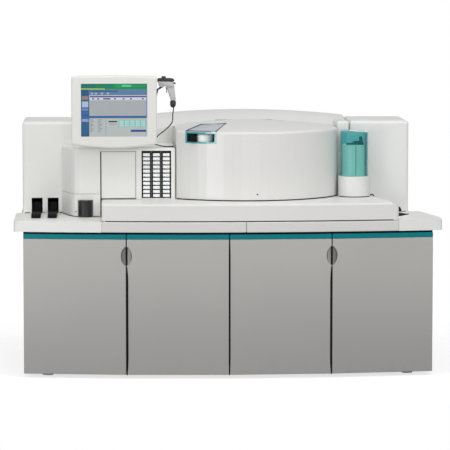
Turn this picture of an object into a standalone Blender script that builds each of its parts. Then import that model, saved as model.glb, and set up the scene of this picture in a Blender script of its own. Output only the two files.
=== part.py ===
# Floor-standing chemistry analyzer: bow-fronted cabinet, worktop, deck, lid, towers, monitor and scanner.
# Metres, +X right, +Y back, +Z up; the origin is on the floor under the middle of the object.
import math

import bmesh
import bpy
from mathutils import Matrix, Vector

# Driving sizes of the whole object
WORKTOP_WIDTH = 2.184
DEPTH = 1.20
BOW_RADIUS = 6.0
WORKTOP_TOP = 0.80
WORKTOP_THICK = 0.0547
GAP = 0.0003
OVERRUN = 0.02
NUDGE = 0.001
# Shares of the worktop's width that set the widths along the front
LEFT_TOWER_WIDTH_SHARE = 0.277701
RIGHT_TOWER_WIDTH_SHARE = 0.141712
RIGHT_TOWER_INSET_SHARE = 0.036172
COLUMN_OFFSET_SHARE = 0.093407
COLUMN_WIDTH_SHARE = 0.092033
COLUMN_SLOPE_SHARE = 0.041667
ACCESS_WIDTH_SHARE = 0.080586
MAGAZINE_POST_SHARE = 0.014194
MAGAZINE_END_SHARE = 0.010531
RACK_SLOT_WIDTH_SHARE = 0.023031
LID_LEFT_REACH_SHARE = 0.167125
LID_RIGHT_REACH_SHARE = 0.218864
LID_RADIUS_SHARE = 0.235806
WHEEL_RADIUS_SHARE = 0.073260
WHEEL_SPACING_SHARE = 0.160256
TURRET_RADIUS_SHARE = 0.038462
WEDGE_WIDTH_SHARE = 0.040293
LANE_LEFT_SHARE = 0.021200
LANE_WIDTH_SHARE = 0.026099
LANE_PITCH_SHARE = 0.038233
RACK_WIDTH_SHARE = 0.021337
MONITOR_PLACE_SHARE = 0.218407
STAT_PLACE_SHARE = 0.056777
WINDOW_NEAR_SHARE = 0.020604
WINDOW_WIDTH_SHARE = 0.070971
WINDOW_LEAN_SHARE = 0.035027
WINDOW_TAPER_SHARE = 0.009615
DRAWER_SIDE_SHARE = 0.013736
KEYBOARD_WIDTH_SHARE = 0.203755
ARM_LENGTH_SHARE = 0.123626
TANK_WIDTH_SHARE = 0.274725
TANK_SPACING_SHARE = 0.164835
BOX_WIDTH_SHARE = 0.228938
SLOT_LENGTH_SHARE = 0.137363
RING_WALL_SHARE = 0.019231
BOTTLE_RADIUS_SHARE = 0.008242
HINGE_LENGTH_SHARE = 0.137363
WINDOW_DRUM_RADIUS_SHARE = 0.016484
WINDOW_BLOCK_SHARE = 0.015568
DECK_TAPER_SHARE = 0.040293
HUB_RADIUS_SHARE = 0.013736
LIP_RADIUS_LEFT_SHARE = 0.915751
LIP_RADIUS_RIGHT_SHARE = 1.556777
TRIM_DEPTH = 0.04

# Cabinet
WING_OVERHANG = 0.0480
TOWER_LAP = 0.013
FOOT_RADIUS = 0.028
FOOT_HEIGHT = 0.03
FOOT_INSET = 0.12
BASE_THICK = 0.025
PANEL_THICK = 0.018
TOP_PLATE_THICK = 0.0150
BACK_INSET = 0.02
SLOT_LENGTH = WORKTOP_WIDTH * SLOT_LENGTH_SHARE
SLOT_HEIGHT = 0.012
SLOT_PITCH = 0.04
SLOT_FOOT = 0.42

# Doors
DOOR_FOOT = 0.02
DOOR_THICK = 0.020
DOOR_SEAM = 0.0045
STRIP_HEIGHT = 0.025
STRIP_TOP = 0.735
PULL_HALF_WIDTH = 0.026
PULL_HEIGHT = 0.104
PULL_DEPTH = 0.014
PULL_TOP = 0.677
DOOR_EDGE_ROUND = 0.002
HINGE_LEAF = 0.05
HINGE_LEAF_THICK = 0.014
OUTER_LEAF_OFFSET = 0.0156
INNER_LEAF_OFFSET = 0.0088
HINGE_LEAF_LIFT = 0.09

# Worktop, fascia and deck
WING_FRONT_ROUND = 0.018
WING_SIDE_DEPTH = 0.13
WING_BACK_INSET = 0.067
FASCIA_THICK = 0.020
FASCIA_REVEAL = 0.0025
DECK_SETBACK = 0.008
DECK_SHOULDER = 0.042
DECK_RISE = 0.09
DECK_ROUND = 0.010
DECK_MARGIN = 0.0625
DECK_TAPER = WORKTOP_WIDTH * DECK_TAPER_SHARE
DRAWER_SHARE = 0.484
DRAWER_POCKET_HEIGHT = 0.042
DRAWER_TRAY_DEPTH = 0.36
DRAWER_TRAY_THICK = 0.004
DRAWER_SIDE = WORKTOP_WIDTH * DRAWER_SIDE_SHARE
DRAWER_LIP = 0.014
KEYBOARD_WIDTH = WORKTOP_WIDTH * KEYBOARD_WIDTH_SHARE
KEYBOARD_DEPTH = 0.150
KEYBOARD_HEIGHT = 0.018
KEYBOARD_SETBACK = 0.06
SLOT_WEDGE_DEPTH = 0.035
WEDGE_LENGTH = 0.15
WEDGE_BACK = 0.11
WEDGE_WIDTH = WORKTOP_WIDTH * WEDGE_WIDTH_SHARE

# Towers and hood
TOWER_FRONT = 0.55
TOWER_TOP = 1.279
LEFT_TOWER_WIDTH = WORKTOP_WIDTH * LEFT_TOWER_WIDTH_SHARE
RIGHT_TOWER_WIDTH = WORKTOP_WIDTH * RIGHT_TOWER_WIDTH_SHARE
RIGHT_TOWER_INSET = WORKTOP_WIDTH * RIGHT_TOWER_INSET_SHARE
TOWER_ROUND = 0.014
TOWER_FLAT = 0.43
TOWER_FALL = 0.08
HOOD_FRONT = 0.705
HOOD_CREST = 1.320
HOOD_CREST_RADIUS = 4.8
HOOD_CREST_BACK = 0.27
HOOD_TAIL_FALL = 0.045
LIP_CREST = 1.281
LIP_RADIUS_LEFT = WORKTOP_WIDTH * LIP_RADIUS_LEFT_SHARE
LIP_RADIUS_RIGHT = WORKTOP_WIDTH * LIP_RADIUS_RIGHT_SHARE
SIDE_SEAM = 0.004
CHEEK_ROUND = 0.010
CHEEK_DROP = 0.0035
CHEEK_RUN_SHARE = 0.62

# Sample lanes in the left tower
LANE_WIDTH = WORKTOP_WIDTH * LANE_WIDTH_SHARE
LANE_HEIGHT = 0.080
LANE_DEPTH = 0.26
LANE_LEFT = WORKTOP_WIDTH * LANE_LEFT_SHARE
LANE_PITCH = WORKTOP_WIDTH * LANE_PITCH_SHARE
LINER_WALL = 0.002
RACK_WIDTH = WORKTOP_WIDTH * RACK_WIDTH_SHARE
RACK_REACH = 0.31
RACK_LENGTH = 0.53
RACK_TRAY = 0.012
RACK_BLOCK_LENGTH = 0.20
RACK_BLOCK_HEIGHT = 0.055
TUBE_RADIUS = 0.0085
TUBE_PITCH = 0.036
TUBE_COUNT = 5
RACK_NOSE_RISE = 0.010

# Column and magazine
COLUMN_OFFSET = WORKTOP_WIDTH * COLUMN_OFFSET_SHARE
COLUMN_WIDTH = WORKTOP_WIDTH * COLUMN_WIDTH_SHARE
COLUMN_SLOPE = WORKTOP_WIDTH * COLUMN_SLOPE_SHARE
BLOCK_FRONT = 0.32
BLOCK_TOP = 1.156
BLOCK_ROUND = 0.012
BASE_PANEL_TOP = 0.9193
GROOVE_WIDTH = 0.006
GROOVE_DEPTH = 0.03
ACCESS_WIDTH = WORKTOP_WIDTH * ACCESS_WIDTH_SHARE
ACCESS_FOOT = 0.895
ACCESS_HEIGHT = 0.240
ACCESS_THICK = 0.018
ACCESS_DEPTH = 0.20
ACCESS_SEAM = 0.002
MAGAZINE_POST = WORKTOP_WIDTH * MAGAZINE_POST_SHARE
MAGAZINE_END = WORKTOP_WIDTH * MAGAZINE_END_SHARE
CARTRIDGE_COLUMNS = 3
CARTRIDGE_ROWS = 11
CARTRIDGE_PITCH = 0.0211
RACK_SLOT_WIDTH = WORKTOP_WIDTH * RACK_SLOT_WIDTH_SHARE
RACK_DIVIDER = 0.0006
RACK_HEAD = 0.0125
SHELF_THICK = 0.0050
SHELF_SETBACK = 0.010
MAGAZINE_DEPTH = 0.20
CARTRIDGE_SIDE = 0.0060
CARTRIDGE_SETBACK = 0.003
CARTRIDGE_DEPTH = 0.13
RACK_SPINE = 0.012
WEB_WIDTH = 0.005
WEB_BACK_SHARE = 0.8
STAT_RADIUS = 0.0372
STAT_HEIGHT = 0.0855
STAT_PLACE = WORKTOP_WIDTH * STAT_PLACE_SHARE
STAT_WALL = 0.004
STAT_CLEAR = 0.0015

# Main lid
LID_RADIUS = WORKTOP_WIDTH * LID_RADIUS_SHARE
LID_LEFT_REACH = WORKTOP_WIDTH * LID_LEFT_REACH_SHARE
LID_RIGHT_REACH = WORKTOP_WIDTH * LID_RIGHT_REACH_SHARE
LID_CENTRE_BACK = 0.68
LID_WALL = 0.006
LID_LIP = 1.245
LID_LIP_ROUND = 0.012
LID_SEAM = 0.003
LID_STEPS = 22
HINGE_RADIUS = 0.0012
HINGE_LENGTH = WORKTOP_WIDTH * HINGE_LENGTH_SHARE
WINDOW_NEAR = WORKTOP_WIDTH * WINDOW_NEAR_SHARE
WINDOW_WIDTH = WORKTOP_WIDTH * WINDOW_WIDTH_SHARE
WINDOW_DEPTH = 0.28
WINDOW_HEIGHT = 0.063
WINDOW_LEAN = WORKTOP_WIDTH * WINDOW_LEAN_SHARE
WINDOW_TAPER = WORKTOP_WIDTH * WINDOW_TAPER_SHARE
WINDOW_WALL = 0.004
WINDOW_GLASS = 0.003
WINDOW_SKEW = 0.042
WINDOW_DRUM_RADIUS = WORKTOP_WIDTH * WINDOW_DRUM_RADIUS_SHARE
WINDOW_DRUM_HEIGHT = 0.046
WINDOW_BLOCK = WORKTOP_WIDTH * WINDOW_BLOCK_SHARE

# Mechanism under the lid
WHEEL_RADIUS = WORKTOP_WIDTH * WHEEL_RADIUS_SHARE
WHEEL_WELL = 0.03
WHEEL_CLEAR = 0.005
WHEEL_SPACING = WORKTOP_WIDTH * WHEEL_SPACING_SHARE
WHEEL_BACK = 0.485
CAROUSEL_HEIGHT = 0.11
BOTTLE_RADIUS = WORKTOP_WIDTH * BOTTLE_RADIUS_SHARE
BOTTLE_DEPTH = 0.05
OUTER_BOTTLES = 14
INNER_BOTTLES = 6
OUTER_BOTTLE_SHARE = 0.80
INNER_BOTTLE_SHARE = 0.44
RING_HEIGHT = 0.07
RING_WALL = WORKTOP_WIDTH * RING_WALL_SHARE
CUVETTE_COUNT = 24
CUVETTE_SIZE = 0.011
CUVETTE_DEPTH = 0.02
HUB_RADIUS = WORKTOP_WIDTH * HUB_RADIUS_SHARE
MAST_RADIUS = 0.018
MAST_BORE = 0.06
MAST_TOP = 1.10
MAST_BACK = 0.335
MAST_LIFT = 0.04
ARM_LENGTH = WORKTOP_WIDTH * ARM_LENGTH_SHARE
ARM_THICK = 0.020
ARM_WIDTH = 0.036
NEEDLE_RADIUS = 0.002
NEEDLE_LENGTH = 0.045
WASH_RADIUS = 0.022
WASH_HEIGHT = 0.12
WASH_BORE = 0.008
WASH_BORE_DEPTH = 0.03

# Turret
TURRET_RADIUS = WORKTOP_WIDTH * TURRET_RADIUS_SHARE
TURRET_BASE_HEIGHT = 0.1070
TURRET_COVER_RADIUS = 0.0735
TURRET_COVER_WALL = 0.003
TURRET_COVER_TOP = 1.242
TURRET_SLOPE = 0.016
TURRET_FRONT_CLEAR = 0.003
TURRET_COLUMN_RADIUS = 0.052
TURRET_COLUMN_TOP = 1.160
TURRET_ARM_HEIGHT = 0.018
TURRET_ARM_WIDTH = 0.024
TURRET_ARM_REACH = 0.028
TURRET_STUB_RADIUS = 0.005
TURRET_STUB_HEIGHT = 0.025
TURRET_FRAME_THICK = 0.005
TURRET_TAB_WIDTH = 0.012
TURRET_TAB_HEIGHT = 0.036
TURRET_TAB_LIFT = 0.125
TURRET_MOUTH_DEGREES = 100.0

# Monitor and scanner
MONITOR_WIDTH = 0.436
MONITOR_FOOT = 1.159
MONITOR_HEIGHT = 0.372
MONITOR_BOW_FOOT = 0.020
MONITOR_BOW_HEAD = 0.004
MONITOR_THICK = 0.055
MONITOR_FRONT = 0.215
MONITOR_CORNER = 0.009
MONITOR_PLACE = WORKTOP_WIDTH * MONITOR_PLACE_SHARE
SCREEN_WIDTH = 0.338
SCREEN_HEIGHT = 0.270
SCREEN_FOOT = 0.061
SCREEN_RECESS = 0.005
SCREEN_THICK = 0.003
BULGE_WIDTH = 0.28
BULGE_HEIGHT = 0.25
POST_BACK = 0.43
POST_RADIUS = 0.022
POST_TOP = 1.300
COLLAR_RADIUS = 0.030
COLLAR_HEIGHT = 0.035
TILT_PIN_RADIUS = 0.012
TILT_PIN_LENGTH = 0.10
TILT_PIN_AHEAD = 0.10
ARM_BAR_WIDTH = 0.05
ARM_BAR_HEIGHT = 0.025
HOLDER_THICK = 0.017
HOLDER_STRIP = 0.010
HOLDER_BAR_HEIGHT = 0.020
SCANNER_GAP = 0.0045
SCANNER_HEAD_LENGTH = 0.0950
SCANNER_HEAD_FOOT = 1.4690
SCANNER_HEAD_HEIGHT = 0.0455
SCANNER_KNOB_RISE = 0.0095
SCANNER_HEAD_THICK = 0.045
SCANNER_BACK = 0.31
SCANNER_GRIP_LENGTH = 0.070
SCANNER_GRIP_WIDTH = 0.034
SCANNER_GRIP_THICK = 0.030
SCANNER_GRIP_LEAN = 0.009
SCANNER_BOOT_RADIUS = 0.0125
SCANNER_BOOT_LENGTH = 0.036
TRIGGER_WIDTH = 0.009
TRIGGER_HEIGHT = 0.030
TRIGGER_THICK = 0.016
CORD_RADIUS = 0.0027
GUIDE_RADIUS = 0.006
GUIDE_THICK = 0.008
GUIDE_RISE = 0.032
CORD_BEND = 0.011
GROMMET_RADIUS = 0.008
GROMMET_HEIGHT = 0.006

# Fluid tanks and electronics in the bays
TANK_WIDTH = WORKTOP_WIDTH * TANK_WIDTH_SHARE
TANK_DEPTH = 0.34
TANK_HEIGHT = 0.38
TANK_NECK_RADIUS = 0.03
TANK_NECK_HEIGHT = 0.03
TANK_SPACING = WORKTOP_WIDTH * TANK_SPACING_SHARE
BOX_WIDTH = WORKTOP_WIDTH * BOX_WIDTH_SHARE
BOX_DEPTH = 0.34
BOX_HEIGHT = 0.42
INNER_BACK_CLEAR = 0.08

# Places worked out from the sizes above
front_y = -DEPTH / 2
back_y = DEPTH / 2
shell_back = back_y - BACK_INSET
wing_half = WORKTOP_WIDTH / 2
cabinet_half = wing_half - WING_OVERHANG
worktop_foot = WORKTOP_TOP - WORKTOP_THICK
deck_top = WORKTOP_TOP + DECK_RISE
floor_top = FOOT_HEIGHT + GAP + BASE_THICK
top_plate_top = worktop_foot - GAP
top_plate_foot = top_plate_top - TOP_PLATE_THICK
tower_y = front_y + TOWER_FRONT
hood_y = front_y + HOOD_FRONT
block_y = front_y + BLOCK_FRONT
left_tower_x = -cabinet_half - TOWER_LAP
left_tower_end = left_tower_x + LEFT_TOWER_WIDTH
column_x = left_tower_x + COLUMN_OFFSET
column_end = column_x + COLUMN_WIDTH
access_x = column_end + GROOVE_WIDTH
access_end = access_x + ACCESS_WIDTH
magazine_x = access_end + MAGAZINE_POST
magazine_width = CARTRIDGE_COLUMNS * RACK_SLOT_WIDTH + (CARTRIDGE_COLUMNS - 1) * RACK_DIVIDER
magazine_end = magazine_x + magazine_width
block_end = magazine_end + MAGAZINE_END
deck_x = column_end + GROOVE_WIDTH
lid_x = block_end + SIDE_SEAM
lid_centre_x = lid_x + LID_LEFT_REACH
lid_centre_y = front_y + LID_CENTRE_BACK
lid_end = lid_centre_x + LID_RIGHT_REACH
lid_foot = deck_top + LID_SEAM
lid_back = hood_y - LID_SEAM
right_tower_end = cabinet_half - RIGHT_TOWER_INSET
right_tower_x = right_tower_end - RIGHT_TOWER_WIDTH
hood_x = left_tower_end + NUDGE
hood_end = right_tower_x - SIDE_SEAM
turret_x = lid_end + SIDE_SEAM + TURRET_RADIUS
turret_y = tower_y - TURRET_RADIUS - TURRET_FRONT_CLEAR
deck_end = turret_x + TURRET_RADIUS + WING_OVERHANG + DECK_MARGIN
monitor_x = left_tower_x + MONITOR_PLACE
monitor_y = front_y + MONITOR_FRONT
post_y = front_y + POST_BACK

# Plain finishes of the pieces: colour, roughness, metallic
finish_table = {
    "housing": ((0.70, 0.70, 0.68), 0.42, 0.0),
    "door_grey": ((0.44, 0.43, 0.41), 0.40, 0.0),
    "teal": ((0.004, 0.22, 0.23), 0.35, 0.0),
    "teal_clear": ((0.05, 0.42, 0.44), 0.12, 0.0),
    "glass": ((0.45, 0.50, 0.52), 0.10, 0.0),
    "black": ((0.012, 0.012, 0.013), 0.35, 0.0),
    "dark": ((0.035, 0.035, 0.037), 0.5, 0.0),
    "white": ((0.83, 0.84, 0.84), 0.35, 0.0),
    "screen": ((0.40, 0.44, 0.47), 0.2, 0.0),
    "steel": ((0.55, 0.55, 0.54), 0.3, 1.0),
    "chassis": ((0.33, 0.33, 0.32), 0.5, 0.0),
}
finishes = {}


def finish(name):
    if name not in finishes:
        colour, roughness, metallic = finish_table[name]
        material = bpy.data.materials.new(name)
        material.use_nodes = True
        shader = material.node_tree.nodes["Principled BSDF"]
        shader.inputs["Base Color"].default_value = (*colour, 1.0)
        shader.inputs["Roughness"].default_value = roughness
        shader.inputs["Metallic"].default_value = metallic
        material.diffuse_color = (*colour, 1.0)
        finishes[name] = material
    return finishes[name]


# Building blocks
def as_object(name, bm, finish_name):
    bmesh.ops.recalc_face_normals(bm, faces=bm.faces)
    mesh = bpy.data.meshes.new(name)
    bm.to_mesh(mesh)
    bm.free()
    mesh.shade_smooth()
    mesh.set_sharp_from_angle(angle=math.radians(35.0))
    mesh.materials.append(finish(finish_name))
    thing = bpy.data.objects.new(name, mesh)
    bpy.context.scene.collection.objects.link(thing)
    return thing


def place_across(along, point, depth):
    a, b = point
    return Vector({"x": (depth, a, b), "y": (a, depth, b), "z": (a, b, depth)}[along])


def add_prism(bm, outline, along, start, end):
    face = bm.faces.new([bm.verts.new(place_across(along, point, start)) for point in outline])
    grown = bmesh.ops.extrude_face_region(bm, geom=[face])["geom"]
    moved = [item for item in grown if isinstance(item, bmesh.types.BMVert)]
    bmesh.ops.translate(bm, verts=moved, vec=place_across(along, (0, 0), end - start))


def prism(name, outline, along, start, end, finish_name):
    bm = bmesh.new()
    add_prism(bm, outline, along, start, end)
    return as_object(name, bm, finish_name)


def rectangle(x0, x1, y0, y1):
    return [(x0, y0), (x1, y0), (x1, y1), (x0, y1)]


def box(name, x_span, y_span, z_span, finish_name):
    return prism(name, rectangle(*x_span, *y_span), "z", *z_span, finish_name)


def boxes(name, spans, finish_name):
    bm = bmesh.new()
    for x_span, y_span, z_span in spans:
        add_prism(bm, rectangle(*x_span, *y_span), "z", *z_span)
    return as_object(name, bm, finish_name)


def circle(centre, radius, sides, start=0.0):
    x, y = centre
    turns = [start + math.tau * step / sides for step in range(sides)]
    return [(x + radius * math.cos(turn), y + radius * math.sin(turn)) for turn in turns]


def disc(name, centre, radius, z_span, sides, finish_name):
    return prism(name, circle(centre, radius, sides), "z", *z_span, finish_name)


def discs(name, centres, radius, z_span, sides, finish_name):
    bm = bmesh.new()
    for centre in centres:
        add_prism(bm, circle(centre, radius, sides), "z", *z_span)
    return as_object(name, bm, finish_name)


def turned(name, centre, profile, sides, finish_name):
    """Spins a profile of (radius, height) points; its two ends lie on the axis."""
    bm = bmesh.new()
    points = [bm.verts.new((radius, 0, height)) for radius, height in profile]
    edges = [bm.edges.new(pair) for pair in zip(points, points[1:])]
    bmesh.ops.spin(bm, geom=points + edges, cent=(0, 0, 0), axis=(0, 0, 1), angle=math.tau,
                   steps=sides, use_merge=True)
    bmesh.ops.remove_doubles(bm, verts=bm.verts, dist=GAP / 10)
    thing = as_object(name, bm, finish_name)
    thing.location = (*centre, 0)
    return thing


def lofted(name, sections, finish_name):
    """Joins like rings of points one after another and caps both ends."""
    bm = bmesh.new()
    rings = [[bm.verts.new(point) for point in section] for section in sections]
    for ring, following in zip(rings, rings[1:]):
        count = len(ring)
        for index in range(count):
            step = (index + 1) % count
            bm.faces.new((ring[index], ring[step], following[step], following[index]))
    bm.faces.new(rings[0])
    bm.faces.new(rings[-1])
    return as_object(name, bm, finish_name)


def bar(name, start, end, radius, sides, finish_name, far_radius=None):
    bm = bmesh.new()
    line = Vector(end) - Vector(start)
    turn = line.to_track_quat("Z", "Y").to_matrix().to_4x4()
    middle = Matrix.Translation((Vector(start) + Vector(end)) / 2)
    far = radius if far_radius is None else far_radius
    bmesh.ops.create_cone(bm, cap_ends=True, segments=sides, radius1=radius, radius2=far,
                          depth=line.length, matrix=middle @ turn)
    return as_object(name, bm, finish_name)


def soften(thing, width, steps=2, least=40.0):
    bevel = thing.modifiers.new("soft_edges", "BEVEL")
    bevel.width = width
    bevel.segments = steps
    bevel.limit_method = "ANGLE"
    bevel.angle_limit = math.radians(least)
    return thing


def combine(thing, tool, operation):
    tool.hide_render = True
    tool.display_type = "WIRE"
    step = thing.modifiers.new(operation.lower(), "BOOLEAN")
    step.operation = operation
    step.object = tool
    step.solver = "EXACT"


def cut(thing, *tools):
    for tool in tools:
        combine(thing, tool, "DIFFERENCE")
    return thing


def fuse(thing, *tools):
    for tool in tools:
        combine(thing, tool, "UNION")
    return thing


def trim_foot(thing, height):
    """Takes off everything below a height, so that a rounded piece stands on a sharp edge."""
    reach = WORKTOP_WIDTH
    cut(thing, box(thing.name + "_trim", (-reach, reach), (-reach, reach), (height - TRIM_DEPTH * 2, height), "dark"))


def arc(centre, radius, start, end, steps):
    x, y = centre
    turns = [start + (end - start) * step / steps for step in range(steps + 1)]
    return [(x + radius * math.cos(turn), y + radius * math.sin(turn)) for turn in turns]


def bow(x, setback=0.0):
    return front_y + setback + BOW_RADIUS - math.sqrt(BOW_RADIUS ** 2 - x ** 2)


def bow_line(x0, x1, setback, steps):
    places = [x0 + (x1 - x0) * step / steps for step in range(steps + 1)]
    return [(x, bow(x, setback)) for x in places]


def mix(a, b, share):
    return a + (b - a) * share


def joint_at(name, place):
    """An empty on a joint's axis, which carries what moves there."""
    empty = bpy.data.objects.new(name, None)
    bpy.context.scene.collection.objects.link(empty)
    empty.location = place
    return empty


def carry(empty, *things):
    for thing in things:
        thing.parent = empty
        thing.matrix_parent_inverse = Matrix.Translation(-Vector(empty.location))


# Cabinet
def make_cabinet():
    chord_sag = (cabinet_half / 2) ** 2 / (8 * BOW_RADIUS)
    chassis_setback = DOOR_THICK + chord_sag + NUDGE
    outline = bow_line(-cabinet_half, cabinet_half, chassis_setback, 12)
    outline += [(cabinet_half, shell_back), (-cabinet_half, shell_back)]
    plate = prism("base_plate", outline, "z", FOOT_HEIGHT, floor_top, "chassis")
    prism("top_plate", outline, "z", top_plate_foot, top_plate_top, "dark")

    reach = cabinet_half - FOOT_INSET
    rows = (bow(reach, FOOT_INSET), shell_back - FOOT_INSET)
    places = [(x, y) for x in (-reach, 0.0, reach) for y in rows]
    fuse(plate, discs("levelling_feet", places, FOOT_RADIUS, (0.0, FOOT_HEIGHT + NUDGE), 16, "dark"))

    z_span = (floor_top + GAP, top_plate_foot - GAP)
    for side, name in ((-1, "side_panel_left"), (1, "side_panel_right")):
        inner = side * (cabinet_half - PANEL_THICK)
        outer = side * cabinet_half
        panel = [(outer, bow(outer, chassis_setback)), (inner, bow(inner, chassis_setback)),
                 (inner, shell_back), (outer, shell_back)]
        prism(name, panel, "z", *z_span, "door_grey")

    inner = cabinet_half - PANEL_THICK - GAP
    rear = box("rear_panel", (-inner, inner), (shell_back - PANEL_THICK, shell_back), z_span, "chassis")
    slots = []
    for side in (-1, 1):
        middle = side * cabinet_half / 2
        for row in range(6):
            foot = SLOT_FOOT + row * SLOT_PITCH
            slots.append(((middle - SLOT_LENGTH / 2, middle + SLOT_LENGTH / 2),
                          (shell_back - PANEL_THICK - OVERRUN, shell_back + OVERRUN),
                          (foot, foot + SLOT_HEIGHT)))
    cut(rear, boxes("air_slots", slots, "dark"))

    half = PANEL_THICK / 2
    box("bay_divider", (-half, half), (bow(0.0, chassis_setback), shell_back - PANEL_THICK - GAP),
        z_span, "chassis")


def make_contents():
    back = shell_back - PANEL_THICK - INNER_BACK_CLEAR
    foot = floor_top + GAP
    middle = -cabinet_half / 2
    half = TANK_WIDTH / 2
    tank = box("fluid_tank", (middle - half, middle + half), (back - TANK_DEPTH, back), (foot, foot + TANK_HEIGHT), "white")
    soften(tank, TANK_NECK_HEIGHT / 2, 1)
    necks = [(middle + side * TANK_SPACING / 2, back - TANK_DEPTH / 2) for side in (-1, 1)]
    fuse(tank, discs("tank_necks", necks, TANK_NECK_RADIUS,
                     (foot + TANK_HEIGHT - NUDGE, foot + TANK_HEIGHT + TANK_NECK_HEIGHT), 16, "white"))
    half = BOX_WIDTH / 2
    soften(box("electronics_box", (-middle - half, -middle + half), (back - BOX_DEPTH, back),
               (foot, foot + BOX_HEIGHT), "steel"), PULL_DEPTH / 2, 1)


# Doors: each is flat, set along the bow, and built from its hinge outwards
def door_places():
    pitch = cabinet_half / 2
    half = DOOR_SEAM / 2
    return (
        (1, -cabinet_half, -pitch - half),
        (2, -half, -pitch + half),
        (3, half, pitch - half),
        (4, cabinet_half, pitch + half),
    )


def make_door(number, hinge_x, free_x):
    hinge = Vector((hinge_x, bow(hinge_x), 0.0))
    free = Vector((free_x, bow(free_x), 0.0))
    line = free - hinge
    side = 1 if line.x > 0 else -1
    turn = math.atan2(line.y * side, line.x * side)
    width = line.length
    strip_foot = STRIP_TOP - STRIP_HEIGHT
    edges = sorted((0.0, side * width))

    panel = box(f"door_panel_{number}", edges, (0.0, DOOR_THICK), (DOOR_FOOT, strip_foot - GAP), "door_grey")
    soften(panel, DOOR_EDGE_ROUND, 1)
    lens_half = PULL_HEIGHT / 2
    lens_radius = (lens_half ** 2 + PULL_HALF_WIDTH ** 2) / (2 * PULL_HALF_WIDTH)
    spread = math.asin(lens_half / lens_radius)
    lens_z = PULL_TOP - lens_half
    centre = (side * (width - PULL_HALF_WIDTH + lens_radius), lens_z)
    facing = math.pi if side > 0 else 0.0
    lens = arc(centre, lens_radius, facing - spread, facing + spread, 10)
    lens += [(side * (width + OVERRUN), lens[-1][1]), (side * (width + OVERRUN), lens[0][1])]
    cut(panel, prism("finger_cup", lens, "y", -OVERRUN, PULL_DEPTH, "dark"))
    leaves = []
    for foot in (DOOR_FOOT + HINGE_LEAF_LIFT, strip_foot - HINGE_LEAF_LIFT - HINGE_LEAF):
        offset = OUTER_LEAF_OFFSET if number in (1, 4) else INNER_LEAF_OFFSET
        leaf_x = sorted((side * offset, side * (offset + HINGE_LEAF)))
        leaf = box("hinge_leaf", leaf_x, (DOOR_THICK - NUDGE, DOOR_THICK + HINGE_LEAF_THICK),
                   (foot, foot + HINGE_LEAF), "steel")
        leaves.append(leaf)
    fuse(panel, *leaves)

    strip = box(f"door_strip_{number}", edges, (0.0, DOOR_THICK), (strip_foot, STRIP_TOP), "teal")
    soften(strip, DOOR_EDGE_ROUND, 1)
    pin = joint_at(f"door_hinge_{number}", hinge)
    for thing in (panel, strip, *leaves):
        thing.parent = pin
    for tool in [step.object for step in panel.modifiers if step.type == "BOOLEAN"]:
        tool.parent = pin
    pin.rotation_euler.z = turn


# Worktop with its wings, the fascia and the keyboard drawer
fascia_x = deck_x
fascia_end = deck_end
fascia_split = fascia_x + (fascia_end - fascia_x) * DRAWER_SHARE


def make_worktop():
    corner = wing_half - WING_FRONT_ROUND
    fascia_back = FASCIA_THICK + GAP
    outline = bow_line(-corner, fascia_x - GAP, 0.0, 4)
    outline += bow_line(fascia_x - GAP, fascia_split, fascia_back, 8)
    outline += bow_line(fascia_split, fascia_end + GAP, fascia_back, 8)[1:]
    outline += bow_line(fascia_end + GAP, corner, 0.0, 3)
    corner_y = bow(corner) + WING_FRONT_ROUND
    outline += arc((corner, corner_y), WING_FRONT_ROUND, math.radians(-60), 0.0, 3)
    outline += [(wing_half, corner_y + WING_SIDE_DEPTH),
                (wing_half - WING_BACK_INSET, tower_y + OVERRUN),
                (right_tower_end + SIDE_SEAM * 2, tower_y + OVERRUN),
                (right_tower_end + SIDE_SEAM * 2, shell_back),
                (left_tower_x - SIDE_SEAM * 2, shell_back),
                (left_tower_x - SIDE_SEAM * 2, tower_y + OVERRUN),
                (-wing_half, tower_y)]
    outline += arc((-corner, corner_y), WING_FRONT_ROUND, math.pi, math.radians(240), 3)
    worktop = prism("worktop", outline, "z", worktop_foot, WORKTOP_TOP, "housing")
    pocket = (fascia_x + DRAWER_SIDE - SIDE_SEAM, fascia_split - DRAWER_SIDE + SIDE_SEAM)
    cut(worktop, box("drawer_pocket", pocket, (front_y - OVERRUN, bow(0.0, DRAWER_TRAY_DEPTH + DRAWER_SIDE)),
                     (worktop_foot - OVERRUN, worktop_foot + DRAWER_POCKET_HEIGHT), "dark"))
    wedge_shares = ((0.0, 0.0), (0.30, 0.0), (1.0, 0.73), (0.94, 1.0), (0.13, 0.93))
    wedge_y = tower_y - WEDGE_BACK - WEDGE_LENGTH
    wedge = [(fascia_end + SIDE_SEAM + WEDGE_WIDTH * across, wedge_y + WEDGE_LENGTH * back)
             for across, back in wedge_shares]
    cut(worktop, prism("pass_through", wedge, "z", WORKTOP_TOP - SLOT_WEDGE_DEPTH, WORKTOP_TOP + OVERRUN, "dark"))


def fascia_outline(x0, x1):
    return bow_line(x0, x1, 0.0, 8) + bow_line(x1, x0, FASCIA_THICK, 8)


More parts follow.
